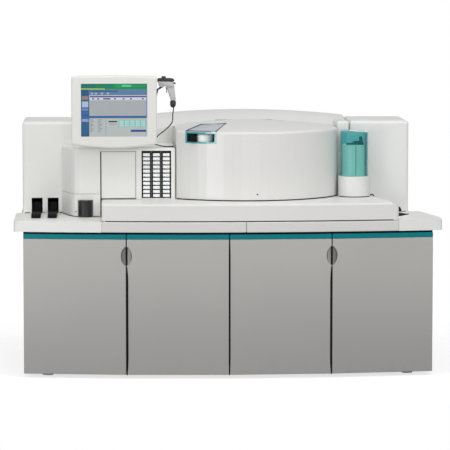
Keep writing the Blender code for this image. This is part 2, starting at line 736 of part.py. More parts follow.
def make_fascia():
    z_span = (worktop_foot + GAP, WORKTOP_TOP - FASCIA_REVEAL)
    half = SIDE_SEAM / 4
    right = prism("fascia_right", fascia_outline(fascia_split + half, fascia_end), "z", *z_span, "housing")
    soften(right, FASCIA_REVEAL, 1)
    drawer = prism("keyboard_drawer", fascia_outline(fascia_x, fascia_split - half), "z", *z_span, "housing")
    soften(drawer, FASCIA_REVEAL, 1)
    foot = worktop_foot + GAP
    tray_x = (fascia_x + DRAWER_SIDE, fascia_split - DRAWER_SIDE)
    tray_front = bow(fascia_x, FASCIA_THICK / 2)
    tray_back = front_y + DRAWER_TRAY_DEPTH
    tray = box("drawer_tray", tray_x, (tray_front, tray_back), (foot, foot + DRAWER_TRAY_THICK), "dark")
    rims = []
    for x0, x1 in ((tray_x[0], tray_x[0] + DRAWER_TRAY_THICK), (tray_x[1] - DRAWER_TRAY_THICK, tray_x[1])):
        rims.append(box("drawer_rim", (x0, x1), (tray_front, tray_back),
                        (foot + DRAWER_TRAY_THICK / 2, foot + DRAWER_TRAY_THICK + DRAWER_LIP), "dark"))
    fuse(drawer, tray, *rims)

    middle = (tray_x[0] + tray_x[1]) / 2
    key_y = tray_front + KEYBOARD_SETBACK
    key_foot = foot + DRAWER_TRAY_THICK + GAP
    side_view = [(key_y, key_foot), (key_y + KEYBOARD_DEPTH, key_foot),
                 (key_y + KEYBOARD_DEPTH, key_foot + KEYBOARD_HEIGHT), (key_y, key_foot + KEYBOARD_HEIGHT / 2)]
    keyboard = prism("keyboard", side_view, "x", middle - KEYBOARD_WIDTH / 2, middle + KEYBOARD_WIDTH / 2, "dark")
    slide = joint_at("drawer_slide", (middle, tray_back, foot))
    carry(slide, drawer, tray, *rims, keyboard)


def wheel_centres():
    middle = (lid_centre_x * 2 + LID_RIGHT_REACH - LID_LEFT_REACH) / 2
    y = front_y + WHEEL_BACK
    return (middle - WHEEL_SPACING / 2, y), (middle + WHEEL_SPACING / 2, y)


def make_deck():
    """The raised deck in front, with wells for the two wheels and a bore for the probe mast."""
    taper_y = tower_y - GAP
    outline = bow_line(deck_x, deck_end - DECK_ROUND, DECK_SETBACK, 12)
    front_corner = bow(deck_end, DECK_SETBACK + DECK_ROUND)
    side = [(deck_end - DECK_TAPER * across, mix(front_corner, taper_y, back))
            for across, back in ((0.0, 0.0), (0.12, 0.25), (0.45, 0.55), (0.85, 0.85), (1.0, 1.0))]
    outline += side
    outline += [(hood_end + SIDE_SEAM / 2, taper_y),
                (hood_end + SIDE_SEAM / 2, hood_y - GAP),
                (hood_x + NUDGE, hood_y - GAP),
                (hood_x + NUDGE, taper_y),
                (deck_x, taper_y)]
    deck = prism("front_skirt", outline, "z", WORKTOP_TOP - TRIM_DEPTH, deck_top, "housing")
    soften(deck, DECK_ROUND, 2, 60.0)
    trim_foot(deck, WORKTOP_TOP + GAP)
    stations = [(side[0][0], front_y - OVERRUN)] + side[1:-1] + [(side[-1][0], taper_y + OVERRUN)]
    rings = []
    for x, y in stations:
        fillet = arc((x - DECK_SHOULDER, deck_top - DECK_SHOULDER), DECK_SHOULDER, math.pi / 2, 0.0, 5)
        corner = fillet + [(x + OVERRUN, deck_top - DECK_SHOULDER), (x + OVERRUN, deck_top + OVERRUN),
                           (x - DECK_SHOULDER, deck_top + OVERRUN)]
        rings.append([(a, y, b) for a, b in corner])
    cut(deck, lofted("deck_shoulder", rings, "dark"))
    left, right = wheel_centres()
    well = (deck_top - WHEEL_WELL, deck_top + OVERRUN)
    cut(deck, discs("wheel_wells", (left, right), WHEEL_RADIUS + WHEEL_CLEAR, well, 32, "dark"))
    bore = disc("mast_bore", mast_place(), MAST_RADIUS + GAP, (deck_top - MAST_BORE, deck_top + OVERRUN), 16, "dark")
    cut(deck, bore)


# Towers and hood
def tower_side_view(front):
    flat_end = front + TOWER_FLAT
    foot = WORKTOP_TOP - TRIM_DEPTH
    return [(front, foot), (shell_back, foot), (shell_back, TOWER_TOP - TOWER_FALL),
            (flat_end, TOWER_TOP), (front, TOWER_TOP)]


def lane_spans(inset, front, depth, foot, height):
    spans = []
    for lane in range(2):
        x = left_tower_x + LANE_LEFT + lane * LANE_PITCH
        spans.append(((x + inset, x + LANE_WIDTH - inset), (front, front + depth), (foot, foot + height)))
    return spans


def make_towers():
    left = prism("left_tower", tower_side_view(tower_y), "x", left_tower_x, left_tower_end, "housing")
    soften(left, TOWER_ROUND, 2, 60.0)
    lanes = lane_spans(0.0, tower_y - OVERRUN, LANE_DEPTH + OVERRUN, WORKTOP_TOP - OVERRUN, LANE_HEIGHT + OVERRUN)
    cut(left, *[box("lane_mouth", *span, "dark") for span in lanes])
    trim_foot(left, WORKTOP_TOP + GAP)
    right = prism("right_tower", tower_side_view(tower_y), "x", right_tower_x, right_tower_end, "housing")
    soften(right, TOWER_ROUND, 2, 60.0)
    trim_foot(right, WORKTOP_TOP + GAP)


def make_lanes():
    depth = LANE_DEPTH - GAP
    foot = WORKTOP_TOP + GAP
    outer = lane_spans(GAP, tower_y, depth, foot, LANE_HEIGHT - GAP * 2)
    hollow = lane_spans(GAP + LINER_WALL, tower_y - OVERRUN, depth + OVERRUN - LINER_WALL, foot + LINER_WALL,
                        LANE_HEIGHT - GAP * 2 - LINER_WALL * 2)
    for name, spans, inner in zip(("lane_liner_left", "lane_liner_right"), outer, hollow):
        cut(box(name, *spans, "black"), box("lane_hollow", *inner, "black"))
    side = (LANE_WIDTH - RACK_WIDTH) / 2
    tray_foot = foot + LINER_WALL + GAP
    names = ("sample_rack_left", "sample_rack_right")
    for name, (x_span, y_span, z_span) in zip(names, lane_spans(side, tower_y - RACK_REACH, RACK_LENGTH,
                                                              tray_foot, RACK_TRAY)):
        front, back = y_span
        foot, top = z_span
        nose = front + RACK_WIDTH / 2
        side_view = [(front, foot), (back, foot), (back, top), (nose + RACK_TRAY, top),
                     (nose, top + RACK_NOSE_RISE), (front + RACK_TRAY / 2, top + RACK_NOSE_RISE), (front, top)]
        rack = prism(name, side_view, "x", *x_span, "black")
        block = box("tube_block", (x_span[0] + LINER_WALL, x_span[1] - LINER_WALL),
                    (back - RACK_BLOCK_LENGTH, back - LINER_WALL), (top - LINER_WALL, foot + RACK_BLOCK_HEIGHT), "black")
        middle = (x_span[0] + x_span[1]) / 2
        first = back - RACK_BLOCK_LENGTH / 2 - TUBE_PITCH * (TUBE_COUNT - 1) / 2
        centres = [(middle, first + TUBE_PITCH * place) for place in range(TUBE_COUNT)]
        bores = discs("tube_bores", centres, TUBE_RADIUS, (top, foot + RACK_BLOCK_HEIGHT + OVERRUN), 8, "dark")
        cut(fuse(rack, block), bores)
        slide = joint_at(name + "_slide", (middle, back, foot))
        carry(slide, rack, block, bores)


def lip_height(x):
    offset = x - lid_centre_x
    radius = LIP_RADIUS_LEFT if offset < 0 else LIP_RADIUS_RIGHT
    return LIP_CREST - offset ** 2 / (2 * radius)


def crest_height(x):
    return HOOD_CREST - (x - lid_centre_x) ** 2 / (2 * HOOD_CREST_RADIUS)


def make_hood():
    sections = []
    steps = 16
    for step in range(steps + 1):
        x = mix(hood_x, hood_end, step / steps)
        lip = lip_height(x)
        crest = crest_height(x)
        foot = WORKTOP_TOP + GAP
        run = HOOD_CREST_BACK
        roof = [(hood_y + run * share, mix(lip, crest, math.sin(share * math.pi / 2)))
                for share in (0.0, 0.2, 0.45, 0.72, 1.0)]
        ring = [(hood_y, foot)] + roof + [(shell_back, crest - HOOD_TAIL_FALL), (shell_back, foot)]
        sections.append([(x, y, z) for y, z in ring])
    hood = lofted("hood", sections, "housing")
    cheek_x = (lid_end + SIDE_SEAM, hood_end)
    cheek_y = tower_y + SIDE_SEAM
    cheek_top = TOWER_TOP - CHEEK_DROP
    cheek_view = rectangle(cheek_y, hood_y + HOOD_CREST_BACK * CHEEK_RUN_SHARE, deck_top - TRIM_DEPTH, cheek_top)
    cheek = soften(prism("lid_cheek", cheek_view, "x", *cheek_x, "housing"), CHEEK_ROUND, 3, 60.0)
    trim_foot(cheek, deck_top + GAP)
    fuse(hood, cheek)


# Main lid
def hinge_axis():
    return hood_y - LID_SEAM / 2, LIP_CREST - LID_WALL / 2


def lid_front(x, radius):
    return lid_centre_y - math.sqrt(radius ** 2 - (x - lid_centre_x) ** 2)


def lid_sections(wall, foot, back):
    radius = LID_RADIUS - wall
    start = math.asin((lid_x + wall - lid_centre_x) / radius)
    end = math.asin((lid_end - wall - lid_centre_x) / radius)
    lip = LID_LIP - wall
    sections = []
    for step in range(LID_STEPS + 1):
        x = lid_centre_x + radius * math.sin(mix(start, end, step / LID_STEPS))
        front = lid_front(x, radius)
        crown = lip_height(x) - LID_SEAM / 2 - wall
        shoulder = front + LID_LIP_ROUND
        run = lid_back - shoulder
        roof = [(shoulder + run * share, mix(lip, crown, math.sin(share * math.pi / 2)))
                for share in (0.0, 0.25, 0.5, 0.75)]
        ring = [(front, foot), (front, lip - LID_LIP_ROUND), (front + LID_LIP_ROUND * 0.3, lip - LID_LIP_ROUND * 0.3)]
        ring += roof + [(back, crown), (back, foot)]
        sections.append([(x, y, z) for y, z in ring])
    return sections


def window_corners(inset):
    """Plan of the corner window: its front follows the drum, its sides lean to the right and draw in."""
    near = lid_x + WINDOW_NEAR + inset
    far = lid_x + WINDOW_NEAR + WINDOW_WIDTH - inset
    radius = LID_RADIUS - inset
    steps = 6
    front = [mix(near, far, step / steps) for step in range(steps + 1)]
    outline = [(x, lid_front(x, radius)) for x in front]
    back_left = lid_front(near, radius) + WINDOW_DEPTH - WINDOW_TAPER - inset
    outline.append((far + WINDOW_LEAN - WINDOW_TAPER / 2, back_left - WINDOW_SKEW))
    outline.append((near + WINDOW_LEAN + WINDOW_TAPER / 2, back_left))
    return outline


def roof_height(x, y):
    front = lid_front(x, LID_RADIUS) + LID_LIP_ROUND
    share = min(1.0, max(0.0, (y - front) / (lid_back - front)))
    return mix(LID_LIP, lip_height(x) - LID_SEAM / 2, math.sin(share * math.pi / 2))


def window_prism(name, inset, foot, drop, finish_name):
    """A prism over the window's plan whose top follows the lid's roof, drop below it."""
    outline = window_corners(inset)
    low = [(x, y, foot if foot is not None else roof_height(x, y) - drop - WINDOW_GLASS) for x, y in outline]
    high = [(x, y, roof_height(x, y) - drop) for x, y in outline]
    return lofted(name, [low, high], finish_name)


def make_lid():
    lid = lofted("main_lid", lid_sections(0.0, lid_foot - LID_SEAM + GAP, lid_back), "housing")
    hollow = lofted("lid_hollow", lid_sections(LID_WALL, lid_foot - OVERRUN, lid_back + OVERRUN), "dark")
    cut(lid, hollow)
    window_foot = LID_LIP - WINDOW_HEIGHT
    mouth = window_prism("window_mouth", -GAP, window_foot, -OVERRUN, "dark")
    front_gap = window_prism("window_front", LID_WALL, window_foot, -OVERRUN, "dark")
    for vertex in front_gap.data.vertices:
        vertex.co.y -= OVERRUN
    cut(lid, mouth, front_gap)

    frame = window_prism("window_frame", GAP * 2, window_foot + GAP, WINDOW_GLASS + GAP * 2, "teal_clear")
    inside = window_prism("window_inside", WINDOW_WALL, window_foot + WINDOW_WALL, -OVERRUN, "dark")
    near = lid_x + WINDOW_NEAR + WINDOW_WALL * 2
    far = lid_x + WINDOW_NEAR + WINDOW_WIDTH - WINDOW_WALL * 2
    light = [(near, lid_front(near, LID_RADIUS) - OVERRUN), (far, lid_front(far, LID_RADIUS) - OVERRUN),
             (far, lid_front(far, LID_RADIUS) + OVERRUN), (near, lid_front(near, LID_RADIUS) + OVERRUN)]
    opening = prism("window_light", light, "z", window_foot + WINDOW_WALL * 2, LID_LIP - LID_LIP_ROUND, "dark")
    cut(frame, inside, opening)
    glass = window_prism("window_glass", GAP * 2, None, GAP, "glass")

    foot = window_foot + WINDOW_WALL + GAP
    drum_x = mix(near, far, 0.62)
    drum_y = lid_front(drum_x, LID_RADIUS) + WINDOW_WALL * 3 + WINDOW_DRUM_RADIUS
    contents = disc("window_contents", (drum_x, drum_y), WINDOW_DRUM_RADIUS,
                    (foot, foot + WINDOW_DRUM_HEIGHT), 20, "white")
    block_x = near + WINDOW_WALL * 3
    block_front = lid_front(block_x, LID_RADIUS) + WINDOW_WALL * 2
    block = box("window_block", (block_x, block_x + WINDOW_BLOCK),
                (block_front, block_front + WINDOW_BLOCK), (foot, foot + WINDOW_DRUM_HEIGHT), "dark")
    tie = box("window_shelf", (block_x, drum_x), (block_front + NUDGE, block_front + WINDOW_BLOCK - NUDGE),
              (foot, foot + WINDOW_WALL),
              "dark")
    fuse(contents, block, tie)

    y, z = hinge_axis()
    half = HINGE_LENGTH / 2
    bar("lid_hinge_pin", (lid_centre_x - half, y, z), (lid_centre_x + half, y, z), HINGE_RADIUS, 12, "steel")
    hinge = joint_at("lid_hinge", (lid_centre_x, y, z))
    carry(hinge, lid, frame, glass, contents, block, tie)


# Mechanism under the lid
def mast_place():
    left, right = wheel_centres()
    return (left[0] + right[0]) / 2, front_y + MAST_BACK


def make_mechanism():
    left, right = wheel_centres()
    foot = deck_top - WHEEL_WELL + GAP
    top = foot + CAROUSEL_HEIGHT
    profile = [(0.0, foot), (WHEEL_RADIUS, foot), (WHEEL_RADIUS, top - WHEEL_CLEAR),
               (WHEEL_RADIUS - WHEEL_CLEAR, top), (HUB_RADIUS + WHEEL_CLEAR, top), (HUB_RADIUS, top + WHEEL_CLEAR),
               (HUB_RADIUS / 2, top + HUB_RADIUS), (0.0, top + HUB_RADIUS)]
    carousel = turned("reagent_carousel", left, profile, 36, "white")
    centres = []
    for count, share in ((OUTER_BOTTLES, OUTER_BOTTLE_SHARE), (INNER_BOTTLES, INNER_BOTTLE_SHARE)):
        centres += circle(left, WHEEL_RADIUS * share, count)
    wells = discs("bottle_wells", centres, BOTTLE_RADIUS, (top - BOTTLE_DEPTH, top + OVERRUN), 8, "dark")
    cut(carousel, wells)
    carry(joint_at("carousel_spin", (*left, foot)), carousel, wells)

    top = foot + RING_HEIGHT
    inner = WHEEL_RADIUS - RING_WALL
    floor = foot + CUVETTE_SIZE
    profile = [(0.0, foot), (WHEEL_RADIUS, foot), (WHEEL_RADIUS, top), (inner, top), (inner, floor),
               (HUB_RADIUS, floor), (HUB_RADIUS, top - CUVETTE_SIZE), (0.0, top - CUVETTE_SIZE)]
    ring = turned("reaction_ring", right, profile, 36, "dark")
    bm = bmesh.new()
    seat = WHEEL_RADIUS - RING_WALL / 2
    for x, y in circle(right, seat, CUVETTE_COUNT):
        turn = math.atan2(y - right[1], x - right[0])
        corners = circle((x, y), CUVETTE_SIZE / math.sqrt(2), 4, turn + math.pi / 4)
        add_prism(bm, corners, "z", top - CUVETTE_DEPTH, top + OVERRUN)
    cuvettes = as_object("cuvette_wells", bm, "dark")
    cut(ring, cuvettes)
    carry(joint_at("ring_spin", (*right, foot)), ring, cuvettes)

    mast_x, mast_y = mast_place()
    mast = disc("probe_mast", (mast_x, mast_y), MAST_RADIUS, (deck_top - MAST_BORE + GAP, MAST_TOP), 16, "steel")
    soften(mast, NUDGE, 1)
    half = ARM_WIDTH / 2
    tip = mast_y + ARM_LENGTH
    outline = arc((mast_x, mast_y), half, math.pi, math.tau, 8)
    outline += arc((mast_x, tip), half / 2, 0.0, math.pi, 6)
    arm = soften(prism("probe_arm", outline, "z", MAST_TOP + GAP, MAST_TOP + ARM_THICK, "white"), ARM_THICK / 6, 1)
    needle = disc("probe_needle", (mast_x, tip), NEEDLE_RADIUS,
                  (MAST_TOP - NEEDLE_LENGTH, MAST_TOP + ARM_THICK / 2), 8, "steel")
    fuse(arm, needle)
    carry(joint_at("probe_lift", (mast_x, mast_y, deck_top)), mast)
    carry(joint_at("probe_swing", (mast_x, mast_y, MAST_TOP)), arm, needle)
    wash = disc("wash_station", (mast_x, tip), WASH_RADIUS, (deck_top + GAP, deck_top + WASH_HEIGHT), 16, "white")
    bore = disc("wash_bore", (mast_x, tip), WASH_BORE,
                (deck_top + WASH_HEIGHT - WASH_BORE_DEPTH, deck_top + WASH_HEIGHT + OVERRUN), 12, "dark")
    cut(wash, bore)


# Column, magazine, access door and stat port
def column_plan():
    """Left side leans forward from the tower, with a hollow at the tower and a round at the front."""
    lean = COLUMN_SLOPE
    front = block_y
    depth = tower_y - GAP - front
    side_shares = ((0.0, 1.0), (0.09, 0.88), (0.26, 0.62), (0.46, 0.32), (0.60, 0.15), (0.76, 0.05), (1.0, 0.0))
    return [(column_x + lean * across, front + depth * back) for across, back in side_shares]


def stat_place():
    return column_x + STAT_PLACE, block_y


def make_column():
    base = column_plan() + [(column_end, block_y), (column_end, tower_y - GAP)]
    panel = prism("column_base", base, "z", WORKTOP_TOP + GAP, BASE_PANEL_TOP - GAP * 2, "housing")
    recess_top = WORKTOP_TOP + GAP + STAT_HEIGHT + STAT_CLEAR
    recess = disc("stat_recess", stat_place(), STAT_RADIUS + STAT_CLEAR,
                  (WORKTOP_TOP - OVERRUN, recess_top), 24, "dark")
    cut(panel, recess)

    foot = WORKTOP_TOP + GAP
    top = foot + STAT_HEIGHT
    cover = disc("stat_cover", stat_place(), STAT_RADIUS, (foot, top), 24, "black")
    soften(cover, STAT_WALL / 4, 1)
    x, y = stat_place()
    inner = STAT_RADIUS - STAT_WALL
    mouth = arc((x, y), inner, math.pi, math.tau, 10) + [(x + inner, y + STAT_RADIUS), (x - inner, y + STAT_RADIUS)]
    hollow = prism("stat_hollow", mouth, "z", foot + STAT_WALL, top - STAT_WALL, "dark")
    cut(cover, hollow)
    carry(joint_at("stat_turn", (x, y, foot)), cover, hollow)


def make_magazine():
    plan = column_plan() + [(block_end, block_y), (block_end, hood_y - GAP), (hood_x + NUDGE, hood_y - GAP),
                            (hood_x + NUDGE, tower_y - GAP)]
    housing = prism("magazine_housing", plan, "z", deck_top - TRIM_DEPTH, BLOCK_TOP, "housing")
    soften(housing, BLOCK_ROUND, 2, 60.0)
    trim_foot(housing, deck_top + GAP)
    over_base = box("over_base", (column_x - OVERRUN, column_end + GAP), (block_y - OVERRUN, tower_y + OVERRUN),
                    (deck_top - TRIM_DEPTH * 2, BASE_PANEL_TOP), "dark")
    groove = box("column_groove", (column_end, column_end + GROOVE_WIDTH), (block_y - OVERRUN, block_y + GROOVE_DEPTH),
                 (deck_top - OVERRUN, ACCESS_FOOT + ACCESS_HEIGHT + ACCESS_SEAM), "dark")
    door_bay = box("access_bay", (access_x - GAP, access_end + GAP), (block_y - OVERRUN, block_y + ACCESS_DEPTH),
                   (deck_top - OVERRUN, ACCESS_FOOT + ACCESS_HEIGHT + ACCESS_SEAM), "dark")
    rack_foot = ACCESS_FOOT
    rack_top = rack_foot + CARTRIDGE_ROWS * CARTRIDGE_PITCH + RACK_HEAD
    pocket = box("rack_pocket", (magazine_x, magazine_x + magazine_width), (block_y - OVERRUN, block_y + MAGAZINE_DEPTH),
                 (rack_foot - GAP, rack_top + GAP), "dark")
    cut(housing, over_base, groove, door_bay, pocket)
    well = disc("grommet_well", grommet_place(), GROMMET_RADIUS - GAP * 4, (BLOCK_TOP - GROMMET_HEIGHT, BLOCK_TOP + OVERRUN),
                12, "dark")
    cut(housing, well)

    door = box("access_door", (access_x, access_end), (block_y, block_y + ACCESS_THICK),
               (ACCESS_FOOT, ACCESS_FOOT + ACCESS_HEIGHT), "housing")
    soften(door, ACCESS_SEAM / 2, 1)
    carry(joint_at("access_hinge", (access_end, block_y, ACCESS_FOOT)), door)

    for number, name in enumerate(("left", "middle", "right")):
        x = magazine_x + number * (RACK_SLOT_WIDTH + RACK_DIVIDER)
        span = (x + GAP, x + RACK_SLOT_WIDTH - GAP)
        spine = block_y + CARTRIDGE_SETBACK + CARTRIDGE_DEPTH + GAP
        view = [(spine + RACK_SPINE, rack_foot), (spine + RACK_SPINE, rack_top)]
        front = block_y + SHELF_SETBACK
        top_foot = rack_foot + CARTRIDGE_ROWS * CARTRIDGE_PITCH
        view += [(front, rack_top), (front, top_foot), (spine, top_foot)]
        for row in reversed(range(CARTRIDGE_ROWS)):
            shelf = rack_foot + row * CARTRIDGE_PITCH
            view.append((spine, shelf + SHELF_THICK))
            view.append((front, shelf + SHELF_THICK))
            view.append((front, shelf))
            if row > 0:
                view.append((spine, shelf))
        rack = prism(f"cartridge_rack_{name}", view, "x", *span, "black")
        lanes = []
        for row in range(CARTRIDGE_ROWS):
            shelf = rack_foot + row * CARTRIDGE_PITCH + SHELF_THICK + GAP
            lanes.append(((span[0] + CARTRIDGE_SIDE, span[1] - CARTRIDGE_SIDE),
                          (block_y + CARTRIDGE_SETBACK, block_y + CARTRIDGE_SETBACK + CARTRIDGE_DEPTH),
                          (shelf, shelf + CARTRIDGE_PITCH - SHELF_THICK - NUDGE)))
        cartridges = boxes(f"cartridges_{name}", lanes, "white")
        web_x = x + RACK_SLOT_WIDTH / 2
        web_y = block_y + CARTRIDGE_DEPTH * WEB_BACK_SHARE
        half = WEB_WIDTH / 2
        web = box("cartridge_web", (web_x - half, web_x + half), (web_y - half, web_y + half),
                  (lanes[0][2][1] - NUDGE, lanes[-1][2][0] + NUDGE), "white")
        half += GAP
        web_room = box("web_room", (web_x - half, web_x + half), (web_y - half, web_y + half),
                       (lanes[0][2][0], lanes[-1][2][0]), "dark")
        fuse(cartridges, web)
        cut(rack, web_room)
        carry(joint_at(f"cartridge_slide_{name}", (x, spine, rack_foot)), rack, cartridges, web, web_room)


# Turret
def make_turret():
    centre = (turret_x, turret_y)
    base_top = deck_top + TURRET_BASE_HEIGHT
    column_foot = base_top - NUDGE
    profile = [(0.0, deck_top + GAP), (TURRET_RADIUS, deck_top + GAP), (TURRET_RADIUS, base_top - NUDGE),
               (TURRET_RADIUS - NUDGE, base_top), (TURRET_COLUMN_RADIUS, base_top),
               (TURRET_COLUMN_RADIUS, TURRET_COLUMN_TOP - NUDGE * 2),
               (TURRET_COLUMN_RADIUS - NUDGE * 2, TURRET_COLUMN_TOP), (0.0, TURRET_COLUMN_TOP)]
    base = turned("turret_base", centre, profile, 32, "white")
    arm_foot = TURRET_COLUMN_TOP - NUDGE
    arm = box("turret_arm", (turret_x, turret_x + TURRET_ARM_REACH * 2),
              (turret_y - TURRET_ARM_WIDTH / 2, turret_y + TURRET_ARM_WIDTH / 2),
              (arm_foot, arm_foot + TURRET_ARM_HEIGHT), "black")
    frame = box("turret_frame", (turret_x - TURRET_COLUMN_RADIUS, turret_x + NUDGE),
                (turret_y - TURRET_ARM_WIDTH / 4, turret_y + TURRET_ARM_WIDTH / 4),
                (arm_foot, arm_foot + TURRET_FRAME_THICK), "black")
    stub = disc("turret_stub", (turret_x + TURRET_ARM_REACH, turret_y), TURRET_STUB_RADIUS,
                (arm_foot + TURRET_ARM_HEIGHT / 2, arm_foot + TURRET_ARM_HEIGHT + TURRET_STUB_HEIGHT), 10, "black")
    fuse(base, arm, frame, stub)

    foot = base_top + GAP
    cover_top = TURRET_COVER_TOP
    cover = disc("turret_cover", centre, TURRET_COVER_RADIUS, (foot, cover_top), 32, "teal_clear")
    inner = TURRET_COVER_RADIUS - TURRET_COVER_WALL
    hollow = disc("turret_hollow", centre, inner, (foot - OVERRUN, cover_top - TURRET_SLOPE - TURRET_COVER_WALL), 32, "dark")
    half = math.radians(TURRET_MOUTH_DEGREES / 2)
    reach = TURRET_COVER_RADIUS * 2
    mouth = [centre] + [(turret_x + reach * math.sin(turn), turret_y + reach * math.cos(turn)) for turn in (half, -half)]
    side = prism("turret_mouth", mouth, "z", foot - OVERRUN, cover_top - TURRET_SLOPE - TURRET_COVER_WALL * 2, "dark")
    left = turret_x - TURRET_RADIUS
    right = turret_x + TURRET_RADIUS
    slope = [(left, cover_top - GAP), (right, cover_top - TURRET_SLOPE), (right, cover_top + OVERRUN), (left, cover_top + OVERRUN)]
    skim = prism("turret_skim", slope, "y", turret_y - reach, turret_y + reach, "dark")
    tab = box("turret_tab", (turret_x - TURRET_COVER_RADIUS - TURRET_TAB_WIDTH / 2, turret_x - inner - NUDGE),
              (turret_y - TURRET_TAB_WIDTH, turret_y), (foot + TURRET_TAB_LIFT, foot + TURRET_TAB_LIFT + TURRET_TAB_HEIGHT), "teal_clear")
    cut(cover, hollow, side, skim)
    fuse(cover, tab)
    carry(joint_at("turret_turn", (*centre, foot)), cover, hollow, side, skim, tab)


# Monitor on its post, the scanner and its cord
def arm_axis():
    return monitor_x, post_y, POST_TOP


def tilt_axis():
    return monitor_x, post_y - TILT_PIN_AHEAD, POST_TOP + COLLAR_HEIGHT + TILT_PIN_RADIUS - NUDGE * 5


def monitor_plan(inset):
    half = MONITOR_WIDTH / 2 - inset
    steps = 8
    foot = MONITOR_FOOT + inset
    head = MONITOR_FOOT + MONITOR_HEIGHT - inset
    places = [mix(-1.0, 1.0, step / steps) for step in range(steps + 1)]
    lower = [(monitor_x + half * place, foot + MONITOR_BOW_FOOT * place ** 2) for place in places]
    upper = [(monitor_x + half * place, head - MONITOR_BOW_HEAD * place ** 2) for place in reversed(places)]
    return lower + upper


def make_monitor():
    box_foot = BLOCK_TOP + GAP
    disc("monitor_post", (monitor_x, post_y), POST_RADIUS, (box_foot, POST_TOP), 20, "housing")
    _, tilt_y, tilt_z = tilt_axis()
    arm = disc("monitor_arm", (monitor_x, post_y), COLLAR_RADIUS, (POST_TOP + GAP, POST_TOP + COLLAR_HEIGHT), 20, "housing")
    half = ARM_BAR_WIDTH / 2
    bar_foot = POST_TOP + COLLAR_HEIGHT - ARM_BAR_HEIGHT - NUDGE
    beam = box("arm_beam", (monitor_x - half, monitor_x + half), (tilt_y, post_y),
               (bar_foot, bar_foot + ARM_BAR_HEIGHT), "housing")
    pin_half = TILT_PIN_LENGTH / 2
    pin = bar("tilt_pin", (monitor_x - pin_half, tilt_y, tilt_z), (monitor_x + pin_half, tilt_y, tilt_z),
              TILT_PIN_RADIUS, 16, "dark")
    fuse(arm, beam, pin)

    rear = monitor_y + MONITOR_THICK
    housing = prism("monitor_housing", monitor_plan(0.0), "y", monitor_y, rear, "housing")
    soften(housing, MONITOR_CORNER, 2, 50.0)
    bulge_half = BULGE_WIDTH / 2
    bulge_foot = MONITOR_FOOT + (MONITOR_HEIGHT - BULGE_HEIGHT) / 2
    bulge_back = tilt_y - TILT_PIN_RADIUS - GAP
    bulge = box("monitor_bulge", (monitor_x - bulge_half, monitor_x + bulge_half), (rear - MONITOR_CORNER, bulge_back),
                (bulge_foot, bulge_foot + BULGE_HEIGHT), "housing")
    soften(bulge, MONITOR_CORNER, 1)
    screen_x = (monitor_x - SCREEN_WIDTH / 2, monitor_x + SCREEN_WIDTH / 2)
    screen_z = (MONITOR_FOOT + SCREEN_FOOT, MONITOR_FOOT + SCREEN_FOOT + SCREEN_HEIGHT)
    recess = box("screen_recess", screen_x, (monitor_y - OVERRUN, monitor_y + SCREEN_RECESS), screen_z, "dark")
    cut(fuse(housing, bulge), recess)
    glass_y = monitor_y + SCREEN_RECESS - GAP
    inset_x = (screen_x[0] + GAP, screen_x[1] - GAP)
    inset_z = (screen_z[0] + GAP, screen_z[1] - GAP)
    screen = box("monitor_screen", inset_x, (glass_y - SCREEN_THICK, glass_y), inset_z, "screen")
    swivel = joint_at("monitor_swivel", arm_axis())
    tilt = joint_at("monitor_tilt", tilt_axis())
    carry(tilt, housing, bulge, recess, screen)

    scanner_x = monitor_x + MONITOR_WIDTH / 2 + SCANNER_GAP
    bar_x = monitor_x + pin_half + NUDGE
    low = bar_foot
    high = low + HOLDER_BAR_HEIGHT
    seat = SCANNER_HEAD_FOOT - GAP
    strip = HOLDER_STRIP
    view = [(monitor_x + half + GAP, low), (scanner_x - strip * 1.2, low), (scanner_x - strip * 0.4, seat - strip * 5.5),
            (scanner_x + strip * 0.6, seat - strip * 1.6), (scanner_x + strip * 2.8, seat - strip * 0.4),
            (scanner_x + strip * 2.8, seat), (scanner_x + strip * 1.3, seat), (scanner_x - strip * 0.2, seat - strip * 1.2),
            (scanner_x - strip * 1.3, seat - strip * 5.0), (scanner_x - strip * 2.2, high), (monitor_x + half + GAP, high)]
    holder_back = front_y + SCANNER_BACK + SCANNER_HEAD_THICK / 2
    holder = prism("scanner_holder", view, "y", holder_back - HOLDER_THICK / 2, holder_back + HOLDER_THICK / 2, "black")
    guide_x, guide_y, guide_z = guide_place()
    drop = box("guide_drop", (guide_x - GUIDE_THICK * 2, guide_x - NUDGE), (holder_back - HOLDER_THICK / 4, holder_back + HOLDER_THICK / 4),
               (guide_z - GUIDE_RADIUS, low + HOLDER_BAR_HEIGHT / 2), "black")
    eye = bar("guide_eye", (guide_x, holder_back - HOLDER_THICK, guide_z), (guide_x, holder_back + HOLDER_THICK, guide_z),
              GUIDE_RADIUS, 12, "black")
    fuse(holder, drop, eye)
    carry(swivel, arm, beam, pin, holder, drop, eye)
    return scanner_x


def guide_place():
    """Where the cord passes its guide behind the monitor's lower corner."""
    holder_back = front_y + SCANNER_BACK + SCANNER_HEAD_THICK / 2
    return monitor_x + MONITOR_WIDTH / 2 - GUIDE_THICK * 2, holder_back, BLOCK_TOP + GUIDE_RISE


def grommet_place():
    return block_end - GROMMET_RADIUS * 2, block_y + GROMMET_RADIUS * 4


